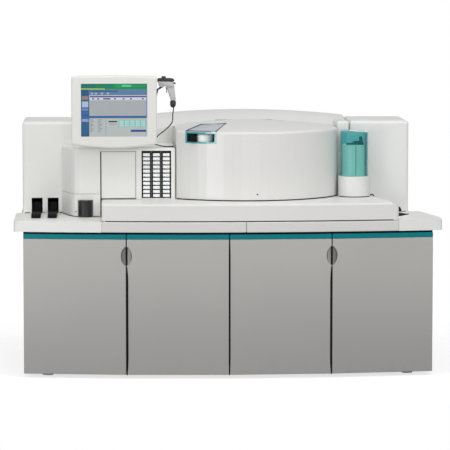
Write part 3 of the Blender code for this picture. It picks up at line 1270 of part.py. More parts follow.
def make_scanner(scanner_x):
    middle = front_y + SCANNER_BACK
    thick = SCANNER_HEAD_THICK / 2
    foot = SCANNER_HEAD_FOOT
    top = foot + SCANNER_HEAD_HEIGHT
    end = scanner_x + SCANNER_HEAD_LENGTH
    long = SCANNER_HEAD_LENGTH
    high = SCANNER_HEAD_HEIGHT
    shares = ((0.0, 0.34), (0.11, 0.0), (0.88, 0.0), (0.99, 0.09), (1.0, 0.20), (0.91, 0.40), (0.90, 0.72), (0.87, 0.93),
              (0.80, 1.0), (0.04, 1.0), (0.0, 0.92))
    view = [(scanner_x + long * across, foot + high * up) for across, up in shares]
    body = prism("scanner_body", view, "y", middle - thick, middle + thick, "white")
    soften(body, high / 8, 1, 50.0)
    knob = box("scanner_knob", (scanner_x + long * 0.23, scanner_x + long * 0.46), (middle - thick * 0.6, middle + thick * 0.6),
               (top - NUDGE * 4, top + SCANNER_KNOB_RISE), "white")
    soften(knob, SCANNER_KNOB_RISE / 4, 1)
    low = foot - SCANNER_GRIP_LENGTH
    grip_places = ((0.485, 0.30), (0.760, -1.0), (1.0, -1.0), (0.885, 0.30))
    grip_view = [(scanner_x + long * across, foot + (high if up > 0 else SCANNER_GRIP_LENGTH) * up)
                 for across, up in grip_places]
    grip_x = grip_view[0][0]
    grip = prism("scanner_grip", grip_view, "y", middle - SCANNER_GRIP_THICK / 2, middle + SCANNER_GRIP_THICK / 2, "white")
    soften(grip, SCANNER_GRIP_THICK / 5, 1)
    boot_x, _, boot_end = boot_place(scanner_x)
    boot = bar("scanner_boot", (boot_x, middle, low + NUDGE * 2), (boot_x, middle, boot_end),
               SCANNER_BOOT_RADIUS, 12, "black", CORD_RADIUS * 1.8)
    fuse(body, knob, grip, boot)
    trigger_x = grip_x - TRIGGER_WIDTH / 2
    trigger_top = foot - GAP * 4
    trigger_view = [(trigger_x, trigger_top), (trigger_x + TRIGGER_WIDTH / 3, trigger_top - TRIGGER_HEIGHT * 0.6),
                    (trigger_x + TRIGGER_WIDTH / 5, trigger_top - TRIGGER_HEIGHT),
                    (trigger_x + TRIGGER_WIDTH, trigger_top - TRIGGER_HEIGHT), (trigger_x + TRIGGER_WIDTH, trigger_top)]
    trigger = prism("scanner_trigger", trigger_view, "y", middle - TRIGGER_THICK / 2, middle + TRIGGER_THICK / 2, "black")
    room_view = [(trigger_x - NUDGE, trigger_top + GAP * 2), (trigger_x - NUDGE, trigger_top - TRIGGER_HEIGHT - NUDGE),
                 (trigger_x + TRIGGER_WIDTH * 1.7, trigger_top - TRIGGER_HEIGHT - NUDGE),
                 (trigger_x + TRIGGER_WIDTH * 1.7, trigger_top + GAP * 2)]
    room = prism("trigger_room", room_view, "y", middle - TRIGGER_THICK / 2 - GAP * 2, middle + TRIGGER_THICK / 2 + GAP * 2, "dark")
    cut(body, room)
    lift = joint_at("scanner_lift", (boot_x, middle, foot))
    press = joint_at("trigger_press", (trigger_x, middle, trigger_top))
    carry(lift, body, knob, grip, boot, room)
    carry(press, trigger)


def boot_place(scanner_x):
    """Tip of the boot where the cord leaves the scanner's handle."""
    boot_x = scanner_x + SCANNER_HEAD_LENGTH - SCANNER_BOOT_RADIUS
    return boot_x, front_y + SCANNER_BACK, SCANNER_HEAD_FOOT - SCANNER_GRIP_LENGTH - SCANNER_BOOT_LENGTH


def cord_route(scanner_x):
    """The cord hangs from the boot to the guide's eye, and runs on from below the eye to its grommet."""
    boot = Vector(boot_place(scanner_x))
    eye = Vector(guide_place())
    start = boot - Vector((0.0, 0.0, GAP))
    slant = Vector((0.657, 0.0, 0.754))
    stop = eye + slant * (GUIDE_RADIUS + GAP)
    fall = start.z - stop.z
    hang = [start]
    for down, back, drift in ((0.07, 0.0, 0.0), (0.20, 0.0, 0.02), (0.44, 0.12, -0.03), (0.66, 0.40, -0.01), (0.83, 0.72, 0.02)):
        hang.append(Vector((mix(start.x, stop.x, back) - drift * fall, mix(start.y, stop.y, back), start.z - fall * down)))
    hang += [stop + slant * CORD_BEND, stop]

    x, y = grommet_place()
    lie_z = BLOCK_TOP + GAP * 2 + CORD_RADIUS
    end = Vector((x - GROMMET_RADIUS - GAP, y, lie_z))
    from_y = eye.y + CORD_BEND * 0.9
    top = eye.z - GUIDE_RADIUS - GAP
    lie = [Vector((eye.x, from_y, top))]
    for across, down in ((0.07, 0.38), (0.29, 0.71), (0.62, 0.93), (0.95, 1.0)):
        lie.append(Vector((eye.x + CORD_BEND * across, from_y, top - CORD_BEND * down)))
    last = lie[-1]
    for along, sink in ((0.10, 0.10), (0.27, 0.45), (0.46, 0.74), (0.65, 0.93), (0.83, 1.0)):
        lie.append(Vector((mix(last.x, end.x, along), mix(last.y, end.y, along), mix(last.z, end.z, sink))))
    lie.append(end)
    return hang, lie


def make_cord(scanner_x):
    x, y = grommet_place()
    grommet = disc("cord_grommet", (x, y), GROMMET_RADIUS, (BLOCK_TOP + GAP, BLOCK_TOP + GROMMET_HEIGHT), 12, "black")
    soften(grommet, GROMMET_HEIGHT / 4, 1)
    hang, lie = cord_route(scanner_x)
    for name, points in (("scanner_cord", hang), ("block_cord", lie)):
        tube(name, points)


def tube(name, points):
    curve = bpy.data.curves.new(name, "CURVE")
    curve.dimensions = "3D"
    curve.bevel_depth = CORD_RADIUS
    curve.bevel_resolution = 2
    curve.use_fill_caps = True
    smooth = through(points, 4)
    line = curve.splines.new("POLY")
    line.points.add(len(smooth) - 1)
    for knot, place in zip(line.points, smooth):
        knot.co = (*place, 1.0)
    curve.materials.append(finish("black"))
    thing = bpy.data.objects.new(name, curve)
    bpy.context.scene.collection.objects.link(thing)
    return thing


def through(points, steps):
    """A smooth curve through the points, read at even shares between them."""
    knots = [Vector(point) for point in points]
    ends = [knots[0] * 2 - knots[1]] + knots + [knots[-1] * 2 - knots[-2]]
    places = []
    for index in range(1, len(ends) - 2):
        a, b, c, d = ends[index - 1:index + 3]
        for step in range(steps):
            s = step / steps
            places.append((b * 2 + (c - a) * s + (a * 2 - b * 5 + c * 4 - d) * s ** 2
                           + (b * 3 - a - c * 3 + d) * s ** 3) / 2)
    places.append(knots[-1])
    return places


def main():
    for thing in list(bpy.data.objects):
        bpy.data.objects.remove(thing, do_unlink=True)
    make_cabinet()
    make_contents()
    for number, hinge_x, free_x in door_places():
        make_door(number, hinge_x, free_x)
    make_worktop()
    make_fascia()
    make_deck()
    make_towers()
    make_lanes()
    make_hood()
    make_lid()
    make_mechanism()
    make_column()
    make_magazine()
    make_turret()
    scanner_x = make_monitor()
    make_scanner(scanner_x)
    make_cord(scanner_x)


main()
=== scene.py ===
import math

import bmesh
import bpy
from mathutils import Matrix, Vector


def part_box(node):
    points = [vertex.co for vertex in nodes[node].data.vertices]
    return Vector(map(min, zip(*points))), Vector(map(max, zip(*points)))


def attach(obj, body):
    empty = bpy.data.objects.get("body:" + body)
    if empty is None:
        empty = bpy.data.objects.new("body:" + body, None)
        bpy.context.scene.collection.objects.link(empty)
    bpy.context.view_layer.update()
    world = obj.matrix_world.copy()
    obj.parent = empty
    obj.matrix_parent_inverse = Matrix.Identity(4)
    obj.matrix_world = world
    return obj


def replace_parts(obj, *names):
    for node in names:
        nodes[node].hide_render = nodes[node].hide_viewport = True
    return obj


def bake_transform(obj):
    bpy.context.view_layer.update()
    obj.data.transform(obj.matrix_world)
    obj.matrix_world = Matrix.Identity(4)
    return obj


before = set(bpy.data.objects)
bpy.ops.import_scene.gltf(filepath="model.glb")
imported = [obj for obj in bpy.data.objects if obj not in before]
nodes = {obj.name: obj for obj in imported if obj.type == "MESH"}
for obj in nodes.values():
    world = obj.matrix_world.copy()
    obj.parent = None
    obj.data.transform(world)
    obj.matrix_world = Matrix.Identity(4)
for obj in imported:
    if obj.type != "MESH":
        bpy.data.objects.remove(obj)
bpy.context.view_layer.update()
print("frame loaded with", len(nodes), "nodes")


def link(name, data):
    thing = bpy.data.objects.new(name, data)
    bpy.context.scene.collection.objects.link(thing)
    return thing


def turnAlong(thing, line):
    thing.rotation_mode = "QUATERNION"
    thing.rotation_quaternion = line.to_track_quat("-Z", "Y")


# camera: the photograph is 450 pixels wide, taken with a long lens from about 14 m
camera = {"aim": (-0.021, -0.55, 0.78), "distance": 14.4, "azimuth": -2.5, "elevation": 5.35,
          "focalPixels": 2840, "photoPixels": 450, "sensor": 36.0, "farthest": 100}


def placeCamera():
    azimuth = math.radians(camera["azimuth"])
    elevation = math.radians(camera["elevation"])
    back = Vector((math.sin(azimuth) * math.cos(elevation), -math.cos(azimuth) * math.cos(elevation),
                   math.sin(elevation)))
    data = bpy.data.cameras.new("photoCamera")
    data.sensor_width = camera["sensor"]
    data.lens = camera["focalPixels"] / camera["photoPixels"] * camera["sensor"]
    data.clip_end = camera["farthest"]
    holder = link("photoCamera", data)
    holder.location = Vector(camera["aim"]) + back * camera["distance"]
    turnAlong(holder, -back)
    bpy.context.scene.camera = holder


placeCamera()
bpy.context.scene.view_settings.view_transform = "Standard"
print("camera placed")

# cords: the upper one hangs from the hand scanner's boot to the guide's eye, the lower one runs on to its grommet
cordTable = {
    "scannerCord": {
        "replaces": "scanner_cord", "from": "scanner", "lay": "hanging",
        "points": [(-0.275, -0.29, 1.3627), (-0.275, -0.29, 1.3508), (-0.2784, -0.29, 1.3287),
                   (-0.2818, -0.2873, 1.2879), (-0.3128, -0.281, 1.2505), (-0.3496, -0.2738, 1.2216),
                   (-0.3666, -0.2675, 1.201), (-0.3739, -0.2675, 1.1928)]},
    "blockCord": {
        "replaces": "block_cord", "from": None, "lay": "loose",
        "points": [(-0.378, -0.2576, 1.1817), (-0.3772, -0.2576, 1.1775), (-0.3748, -0.2576, 1.1739),
                   (-0.3712, -0.2576, 1.1715), (-0.3675, -0.2576, 1.1707), (-0.3596, -0.2566, 1.1696),
                   (-0.3461, -0.255, 1.1656), (-0.331, -0.2532, 1.1623), (-0.316, -0.2514, 1.1601),
                   (-0.3017, -0.2496, 1.1593), (-0.2882, -0.248, 1.1593)]},
}
cordLook = {"radius": 0.0027, "steps": 4, "sides": 14, "sharp": 1.0}


# a smooth curve through the points
def through(points, steps):
    knots = [Vector(point) for point in points]
    ends = [knots[0] * 2 - knots[1]] + knots + [knots[-1] * 2 - knots[-2]]
    places = []
    for index in range(1, len(ends) - 2):
        a, b, c, d = ends[index - 1:index + 3]
        for step in range(steps):
            s = step / steps
            places.append((b * 2 + (c - a) * s + (a * 2 - b * 5 + c * 4 - d) * s ** 2
                           + (b * 3 - a - c * 3 + d) * s ** 3) / 2)
    places.append(knots[-1])
    return places


# a skin over a row of rings, with both ends closed
def loft(mesh, rings):
    size = len(rings[0])
    for first, second in zip(rings, rings[1:]):
        for spot in range(size):
            after = (spot + 1) % size
            mesh.faces.new((first[spot], first[after], second[after], second[spot]))
    mesh.faces.new(rings[0])
    mesh.faces.new(rings[-1])


def oval(wide, tall, sides):
    turns = [2 * math.pi * step / sides for step in range(sides)]
    return [(wide * math.cos(turn), tall * math.sin(turn)) for turn in turns]


# a small section carried along a line of points; where the line stands nearly upright, the section's side is kept
sweepLimits = {"upright": 0.2, "flip": -0.2}


def sweep(mesh, line, section):
    rings = []
    side = None
    last = len(line) - 1
    for index, place in enumerate(line):
        forward = (line[min(index + 1, last)] - line[max(index - 1, 0)]).normalized()
        flat = forward.cross(Vector((0.0, 0.0, 1.0)))
        if side is None:
            side = flat.normalized() if flat.length > sweepLimits["upright"] else Vector((1.0, 0.0, 0.0))
        elif flat.length > sweepLimits["upright"] and flat.normalized().dot(side) > sweepLimits["flip"]:
            side = flat.normalized()
        side = (side - forward * side.dot(forward)).normalized()
        up = side.cross(forward)
        rings.append([mesh.verts.new(place + side * a + up * b) for a, b in section])
    loft(mesh, rings)


def shape(name, mesh, sharp):
    bmesh.ops.recalc_face_normals(mesh, faces=mesh.faces)
    data = bpy.data.meshes.new(name)
    mesh.to_mesh(data)
    mesh.free()
    data.shade_smooth()
    data.set_sharp_from_angle(angle=sharp)
    return link(name, data)


def makeCord(name, row):
    line = through(row["points"], cordLook["steps"])
    radius = cordLook["radius"]
    mesh = bmesh.new()
    sweep(mesh, line, oval(radius, radius, cordLook["sides"]))
    thing = shape(name, mesh, cordLook["sharp"])
    if row["from"]:
        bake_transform(thing)
    else:
        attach(thing, "cabinet")
    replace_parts(thing, row["replaces"])
    length = sum((b - a).length for a, b in zip(line, line[1:]))
    return thing


cords = [makeCord(name, row) for name, row in cordTable.items()]
print("cords laid")


# materials: a wire is a socket that takes part in sums, and a graph is one material's nodes
class Wire:
    def __init__(self, graph, socket):
        self.graph = graph
        self.socket = socket

    def math(self, operation, first, second):
        return self.graph.add("Math", {"operation": operation}, {0: first, 1: second})

    def __add__(self, other): return self.math("ADD", self, other)
    def __radd__(self, other): return self.math("ADD", other, self)
    def __sub__(self, other): return self.math("SUBTRACT", self, other)
    def __rsub__(self, other): return self.math("SUBTRACT", other, self)
    def __mul__(self, other): return self.math("MULTIPLY", self, other)
    def __rmul__(self, other): return self.math("MULTIPLY", other, self)
    def above(self, other): return self.math("GREATER_THAN", self, other)
    def atLeast(self, other): return self.math("MAXIMUM", self, other)
    def atMost(self, other): return self.math("MINIMUM", self, other)


class Graph:
    def __init__(self, name, kind=bpy.data.materials, shader="Principled BSDF"):
        self.material = kind.new(name)
        self.material.use_nodes = True
        self.tree = self.material.node_tree
        self.shader = self.tree.nodes[shader]

    def plug(self, socket, value):
        if isinstance(value, Wire):
            self.tree.links.new(value.socket, socket)
        elif socket.type == "RGBA":
            socket.default_value = (*value, 1.0)
        else:
            socket.default_value = value

    def add(self, kind, settings=None, values=None, out=0):
        node = self.tree.nodes.new("ShaderNode" + kind)
        for key, value in (settings or {}).items():
            setattr(node, key, value)
        for key, value in (values or {}).items():
            self.plug(node.inputs[key], value)
        return Wire(self, node.outputs[out])

    def blendColours(self, share, first, second):
        return self.add("Mix", {"data_type": "RGBA"}, {0: share, 6: first, 7: second}, out=2)

    def shades(self, share, look):
        return self.blendColours(share, linear(look["colour"]), linear(look["deep"]))

    def noise(self, scale, detail, roughness=0.5, stretch=None):
        place = self.add("TexCoord", out=3)
        if stretch:
            place = self.add("Mapping", None, {"Vector": place, "Scale": stretch})
        return self.add("TexNoise", None, {"Vector": place, "Scale": scale, "Detail": detail,
                                           "Roughness": roughness})

    def along(self, axis):
        return self.add("SeparateXYZ", None, {0: self.add("TexCoord", out=3)}, out=axis)

    # full up to the start, gone at the end
    def fade(self, value, start, end):
        return self.add("MapRange", {"interpolation_type": "SMOOTHSTEP"},
                        {0: value, 1: start, 2: end, 3: 1.0, 4: 0.0})

    def bump(self, relief, strength, distance):
        self.plug(self.shader.inputs["Normal"],
                  self.add("Bump", None, {"Strength": strength, "Distance": distance, "Height": relief}))

    def give(self, values):
        for key, value in values.items():
            self.plug(self.shader.inputs[key], value)


# a screen colour as the linear one that shaders take
def linear(colour):
    return tuple((part / 255 / 12.92) if part < 11 else (((part / 255) + 0.055) / 1.055) ** 2.4 for part in colour)


# moulded plastic: a fine spark-eroded grain, slow colour drift and rubbed patches that shine a little more
def moulded(colour, deep, rough, grain, relief, shine=0.5):
    return {"colour": colour, "deep": deep, "rough": rough, "grain": grain, "relief": relief, "shine": shine}


mouldedTable = {
    "housingWhite": ((230, 230, 227), (224, 225, 222), 0.42, 900.0, 0.10),
    "deckWhite": ((224, 223, 221), (218, 218, 215), 0.40, 900.0, 0.10),
    "towerGrey": ((225, 225, 224), (219, 220, 218), 0.45, 900.0, 0.10),
    "lidWhite": ((220, 220, 218), (217, 216, 214), 0.34, 1100.0, 0.06),
    "fasciaWhite": ((215, 214, 212), (209, 209, 206), 0.40, 900.0, 0.10),
    "wingWhite": ((230, 230, 227), (224, 224, 221), 0.40, 900.0, 0.10),
    "bezelWhite": ((221, 221, 217), (215, 215, 211), 0.38, 1200.0, 0.08),
    "cartridgeWhite": ((250, 251, 251), (238, 241, 241), 0.30, 1500.0, 0.05),
    "wheelWhite": ((226, 228, 228), (214, 217, 218), 0.35, 1200.0, 0.05),
    "turretWhite": ((222, 222, 221), (215, 215, 214), 0.36, 1000.0, 0.06),
    "rackBlack": ((34, 38, 38), (24, 27, 28), 0.45, 1400.0, 0.15, 0.22),
    "laneBlack": ((8, 8, 9), (13, 13, 14), 0.55, 1400.0, 0.12, 0.14),
    "turretBack": ((118, 196, 200), (108, 188, 192), 0.60, 900.0, 0.02),
    "slitShade": ((104, 136, 112), (96, 128, 106), 0.60, 900.0, 0.02),
    "pullDark": ((120, 118, 115), (112, 110, 107), 0.42, 900.0, 0.06),
    "footWhite": ((236, 236, 235), (230, 230, 229), 0.60, 900.0, 0.06),
    "portBlack": ((34, 34, 35), (30, 30, 31), 0.24, 1400.0, 0.04),
    "keyBlack": ((40, 41, 43), (32, 33, 35), 0.50, 1400.0, 0.15),
    "scannerGrey": ((188, 188, 187), (176, 177, 177), 0.35, 1500.0, 0.08),
    "scannerDark": ((45, 48, 50), (35, 37, 40), 0.38, 1500.0, 0.12),
    "slotBlack": ((14, 14, 15), (9, 9, 10), 0.62, 900.0, 0.20, 0.16),
    "labelGrey": ((168, 172, 174), (156, 160, 163), 0.50, 1500.0, 0.05),
    "pullGrey": ((150, 151, 150), (138, 139, 138), 0.40, 1200.0, 0.12),
}
plasticSkin = {"drift": (3.0, 3.0), "rubbed": (11.0, 5.0, 0.62), "rubShare": 0.14, "height": 0.0004}


def mouldedPlastic(name, look, tone=None):
    graph = Graph(name)
    drift = graph.noise(*plasticSkin["drift"])
    rubbed = graph.noise(*plasticSkin["rubbed"])
    colour = graph.shades(drift, look)
    graph.give({"Base Color": tone(graph, colour) if tone else colour,
                "Roughness": rubbed * plasticSkin["rubShare"] + (look["rough"] - plasticSkin["rubShare"] / 2),
                "Specular IOR Level": look["shine"]})
    graph.bump(graph.noise(look["grain"], 1.0), look["relief"], plasticSkin["height"])
    return graph.material


# the hood is the same plastic, but its cheek beside the lid is painted paler than its top: painted light for the
# light that the lid and turret keep from it
hoodLook = {"base": moulded((220, 220, 218), (214, 215, 213), 0.44, 900.0, 0.10), "from": 0.586, "wide": 0.008,
            "top": 1.2740, "cheek": (228, 228, 226)}


def hoodPaintedLight(graph, colour):
    side = (graph.along(0) - hoodLook["from"]) * (1 / hoodLook["wide"])
    share = side.atLeast(0.0).atMost(1.0) * (1 - graph.along(2).above(hoodLook["top"]))
    return graph.blendColours(share, colour, linear(hoodLook["cheek"]))


# painted sheet steel: orange-peel relief, a painted shade that darkens it towards the floor mixed with slow random
# tone drift, and shoe scuffs that thicken towards the floor
# deep is the colour of the painted shade near the floor
doorLook = {"colour": (181, 179, 176), "deep": (157, 155, 153), "scuff": (150, 148, 145), "rough": 0.38,
            "scuffTop": 0.16}
chassisLook = {"colour": (150, 150, 148), "deep": (132, 132, 130), "scuff": (112, 112, 110), "rough": 0.5,
               "scuffTop": 0.12}
steelSkin = {"drift": (2.2, 3.0), "streaks": (9.0, 4.0, 0.6, (1.0, 1.0, 0.22)), "peel": (260.0, 2.0), "paintedShadeTop": 0.72,
             "paintedShadeShare": 0.75, "marks": (0.55, 0.75), "markShare": 0.5, "streakShare": 0.12, "markRough": 0.2,
             "relief": (0.10, 0.0006)}


def paintedSteel(name, look):
    graph = Graph(name)
    skin = steelSkin
    height = graph.along(2)
    drift = graph.noise(*skin["drift"])
    streaks = graph.noise(*skin["streaks"])
    # painted shade: the colour runs to the deep one towards the floor, with some random drift
    low = graph.fade(height, 0.0, skin["paintedShadeTop"]) * skin["paintedShadeShare"] + drift * (1 - skin["paintedShadeShare"])
    base = graph.shades(low, look)
    start, end = skin["marks"]
    marks = graph.add("MapRange", None, {0: streaks, 1: start, 2: end, 3: 0.0, 4: 1.0})
    marks = graph.fade(height, 0.0, look["scuffTop"]) * marks
    graph.give({"Base Color": graph.blendColours(marks * skin["markShare"], base, linear(look["scuff"])),
                "Roughness": streaks * skin["streakShare"] + marks * skin["markRough"]
                + (look["rough"] - skin["streakShare"] / 2)})
    graph.bump(graph.noise(*skin["peel"]), *skin["relief"])
    return graph.material


# tinted clear covers; a row's values are those of clearPlastic
clearSkin = {"drift": (6.0, 3.0), "smear": (28.0, 4.0, 0.6, (1.0, 1.0, 0.3)), "smearRough": 0.12, "coat": 0.4,
             "relief": (0.04, 0.001)}
clearTable = {
    "turretTeal": ((24, 160, 168), (14, 146, 154), 0.17, 0.06, 0.10),
    # turretDeep is the darker teal of the sheet that paints the turret cover's shade at its right
    "turretDeep": ((8, 128, 138), (4, 112, 124), 0.74, 0.08, 0.12),
    "windowTeal": ((104, 186, 190), (84, 170, 174), 0.80, 0.10, 0.14),
    "windowClear": ((222, 230, 240), (196, 204, 214), 0.84, 0.16, 0.10),
}


def clearPlastic(name, colour, deep, alpha, haze, rough):
    graph = Graph(name)
    drift = graph.noise(*clearSkin["drift"])
    smear = graph.noise(*clearSkin["smear"])
    graph.give({"Base Color": graph.blendColours(drift, linear(colour), linear(deep)),
                "Roughness": smear * clearSkin["smearRough"] + rough,
                "Alpha": smear * haze + (alpha - haze / 2), "Coat Weight": clearSkin["coat"]})
    graph.bump(drift, *clearSkin["relief"])
    return graph.material


# materials with one noise for colour and roughness and one for relief. The column glows a little: painted light that
# stands in for the room's light, which its tinted cover keeps from it.
brush = (60.0, 4.0, 0.7, (0.2, 1.0, 8.0))
plainLooks = {
    "tealTrim": {"colour": linear((0, 126, 133)), "deep": linear((0, 114, 122)), "drift": (5.0, 2.0), "rough": 0.37,
                 "driftRough": 0.1, "grain": (1300.0, 1.0), "relief": (0.05, 0.0003),
                 "more": {"Specular IOR Level": 0.16}},
    "brushedSteel": {"colour": (0.62, 0.62, 0.61), "deep": (0.45, 0.45, 0.45), "drift": brush, "rough": 0.18,
                     "driftRough": 0.22, "grain": brush, "relief": (0.08, 0.0003), "more": {"Metallic": 1.0}},
    "cordRubber": {"colour": (0.003, 0.003, 0.004), "deep": (0.008, 0.008, 0.009), "drift": (40.0, 4.0), "rough": 0.5,
                   "driftRough": 0.2, "grain": (1800.0, 1.0), "relief": (0.1, 0.0003),
                   "more": {"Specular IOR Level": 0.14}},
    "litColumn": {"colour": linear((132, 192, 178)), "deep": linear((122, 184, 172)), "drift": (9.0, 3.0),
                  "rough": 0.3, "driftRough": 0.1, "grain": (1200.0, 1.0), "relief": (0.05, 0.0003),
                  "more": {"Emission Strength": 0.27}},
}


def plainMaterial(name, look):
    graph = Graph(name)
    drift = graph.noise(*look["drift"])
    colour = graph.blendColours(drift, look["colour"], look["deep"])
    graph.give({"Base Color": colour, "Roughness": drift * look["driftRough"] + look["rough"], **look["more"]})
    if "Emission Strength" in look["more"]:
        graph.give({"Emission Color": colour})
    graph.bump(graph.noise(*look["grain"]), *look["relief"])
    return graph.material


# the display: flat areas take their colour from the mesh, and a fine pixel pattern sits over them
displayLook = {"haze": (14.0, 2.0), "hazeShare": 0.05, "hazeColour": (0.62, 0.66, 0.70), "shine": 0.12,
               "hazeRough": 0.08, "rough": 0.18, "glow": 0.06, "pixels": (2600.0, 1.0),
               "relief": (0.03, 0.0002)}


def displayPicture():
    graph = Graph("displayPicture")
    tint = graph.add("Attribute", {"attribute_name": "tint"})
    haze = graph.noise(*displayLook["haze"])
    colour = graph.blendColours(haze * displayLook["hazeShare"], tint, displayLook["hazeColour"])
    graph.give({"Base Color": colour, "Roughness": haze * displayLook["hazeRough"] + displayLook["rough"],
                "Specular IOR Level": displayLook["shine"], "Emission Color": colour,
                "Emission Strength": displayLook["glow"]})
    graph.bump(graph.noise(*displayLook["pixels"]), *displayLook["relief"])
    return graph.material


materials = {name: mouldedPlastic(name, moulded(*row)) for name, row in mouldedTable.items()}
materials.update({name: clearPlastic(name, *row) for name, row in clearTable.items()})
materials.update({name: plainMaterial(name, look) for name, look in plainLooks.items()})
materials["hoodPaint"] = mouldedPlastic("hoodPaint", hoodLook["base"], hoodPaintedLight)
materials["doorPaint"] = paintedSteel("doorPaint", doorLook)
materials["chassisPaint"] = paintedSteel("chassisPaint", chassisLook)
materials["displayPicture"] = displayPicture()
print("materials made:", len(materials))


# mesh helpers; a rounding is its width and its steps
smoothAngle = math.radians(35)
bevelAngle = math.radians(30)
finest, fine, small, square = (0.0002, 1), (0.0003, 1), (0.0004, 1), (0.0, 1)


def piece(name, mesh, material, body="cabinet", slot="dark_plastic"):
    thing = shape(name, mesh, smoothAngle)
    thing.data.materials.append(materials[material])
    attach(thing, body)
    return thing


def across(along, point, depth):
    a, b = point
    return Vector((a, depth, b) if along == "y" else (a, b, depth))


def addPrism(mesh, outline, along, start, end, rounding, steps):
    face = mesh.faces.new([mesh.verts.new(across(along, point, start)) for point in outline])
    grown = bmesh.ops.extrude_face_region(mesh, geom=[face])["geom"]
    moved = [item for item in grown if isinstance(item, bmesh.types.BMVert)]
    bmesh.ops.translate(mesh, verts=moved, vec=across(along, (0, 0), end - start))
    if rounding:
        points = set(moved) | set(face.verts)
        edges = [edge for edge in mesh.edges if points.issuperset(edge.verts)]
        edges = [edge for edge in edges if len(edge.link_faces) == 2 and edge.calc_face_angle() > bevelAngle]
        bmesh.ops.bevel(mesh, geom=edges, offset=rounding, segments=steps, profile=0.5, affect="EDGES",
                        clamp_overlap=True)


def prism(name, outline, along, start, end, rounding, *rest):
    mesh = bmesh.new()
    addPrism(mesh, outline, along, start, end, *rounding)
    return piece(name, mesh, *rest)


def rectangle(x0, x1, y0, y1):
    return [(x0, y0), (x1, y0), (x1, y1), (x0, y1)]


def addTurned(mesh, centre, profile, steps):
    loft(mesh, [[mesh.verts.new((centre[0] + a, centre[1] + b, height)) for a, b in oval(radius, radius, steps)]
                for radius, height in profile])


def arc(centre, radius, start, end, steps):
    turns = [math.radians(start + (end - start) * step / steps) for step in range(steps + 1)]
    return [(centre[0] + radius * math.cos(turn), centre[1] + radius * math.sin(turn)) for turn in turns]


def span(name):
    low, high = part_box(name)
    return Vector(low), Vector(high)


def mix(a, b, share):
    return a + (b - a) * share


# finishes of the CAD pieces that are shown as they are
shownAs = {
    "housingWhite": "magazine_housing column_base access_door left_tower monitor_post monitor_arm",
    "hoodPaint": "hood",
    "towerGrey": "right_tower",
    "lidWhite": "main_lid",
    "wingWhite": "worktop",
    "deckWhite": "front_skirt",
    "fasciaWhite": "fascia_right keyboard_drawer",
    "bezelWhite": "monitor_housing",
    "doorPaint": "door_panel_1 door_panel_2 door_panel_3 door_panel_4 side_panel_left side_panel_right",
    "chassisPaint": "rear_panel bay_divider",
    "footWhite": "base_plate",
    # the top plate is black to paint the shadow in the gap under the worktop
    "slotBlack": "top_plate cord_grommet",
    "tealTrim": "door_strip_1 door_strip_2 door_strip_3 door_strip_4",
    "wheelWhite": "fluid_tank reagent_carousel probe_arm wash_station window_contents",
    "turretWhite": "turret_base",
    "laneBlack": "lane_liner_left lane_liner_right sample_rack_left sample_rack_right reaction_ring",
    "portBlack": "stat_cover scanner_holder",
    "rackBlack": "cartridge_rack_left cartridge_rack_middle cartridge_rack_right",
    "keyBlack": "keyboard",
    "scannerGrey": "scanner_trigger scanner_body",
    "cartridgeWhite": "cartridges_left cartridges_middle cartridges_right",
    "turretTeal": "turret_cover",
    "windowTeal": "window_frame",
    "windowClear": "window_glass",
    "brushedSteel": "electronics_box lid_hinge_pin probe_mast",
    "displayPicture": "monitor_screen",
}
for cord in cords:
    cord.data.materials.append(materials["cordRubber"])
for finish, members in shownAs.items():
    for member in members.split():
        coats = nodes[member].data.materials
        coats.clear()
        coats.append(materials[finish])
print("CAD pieces finished")

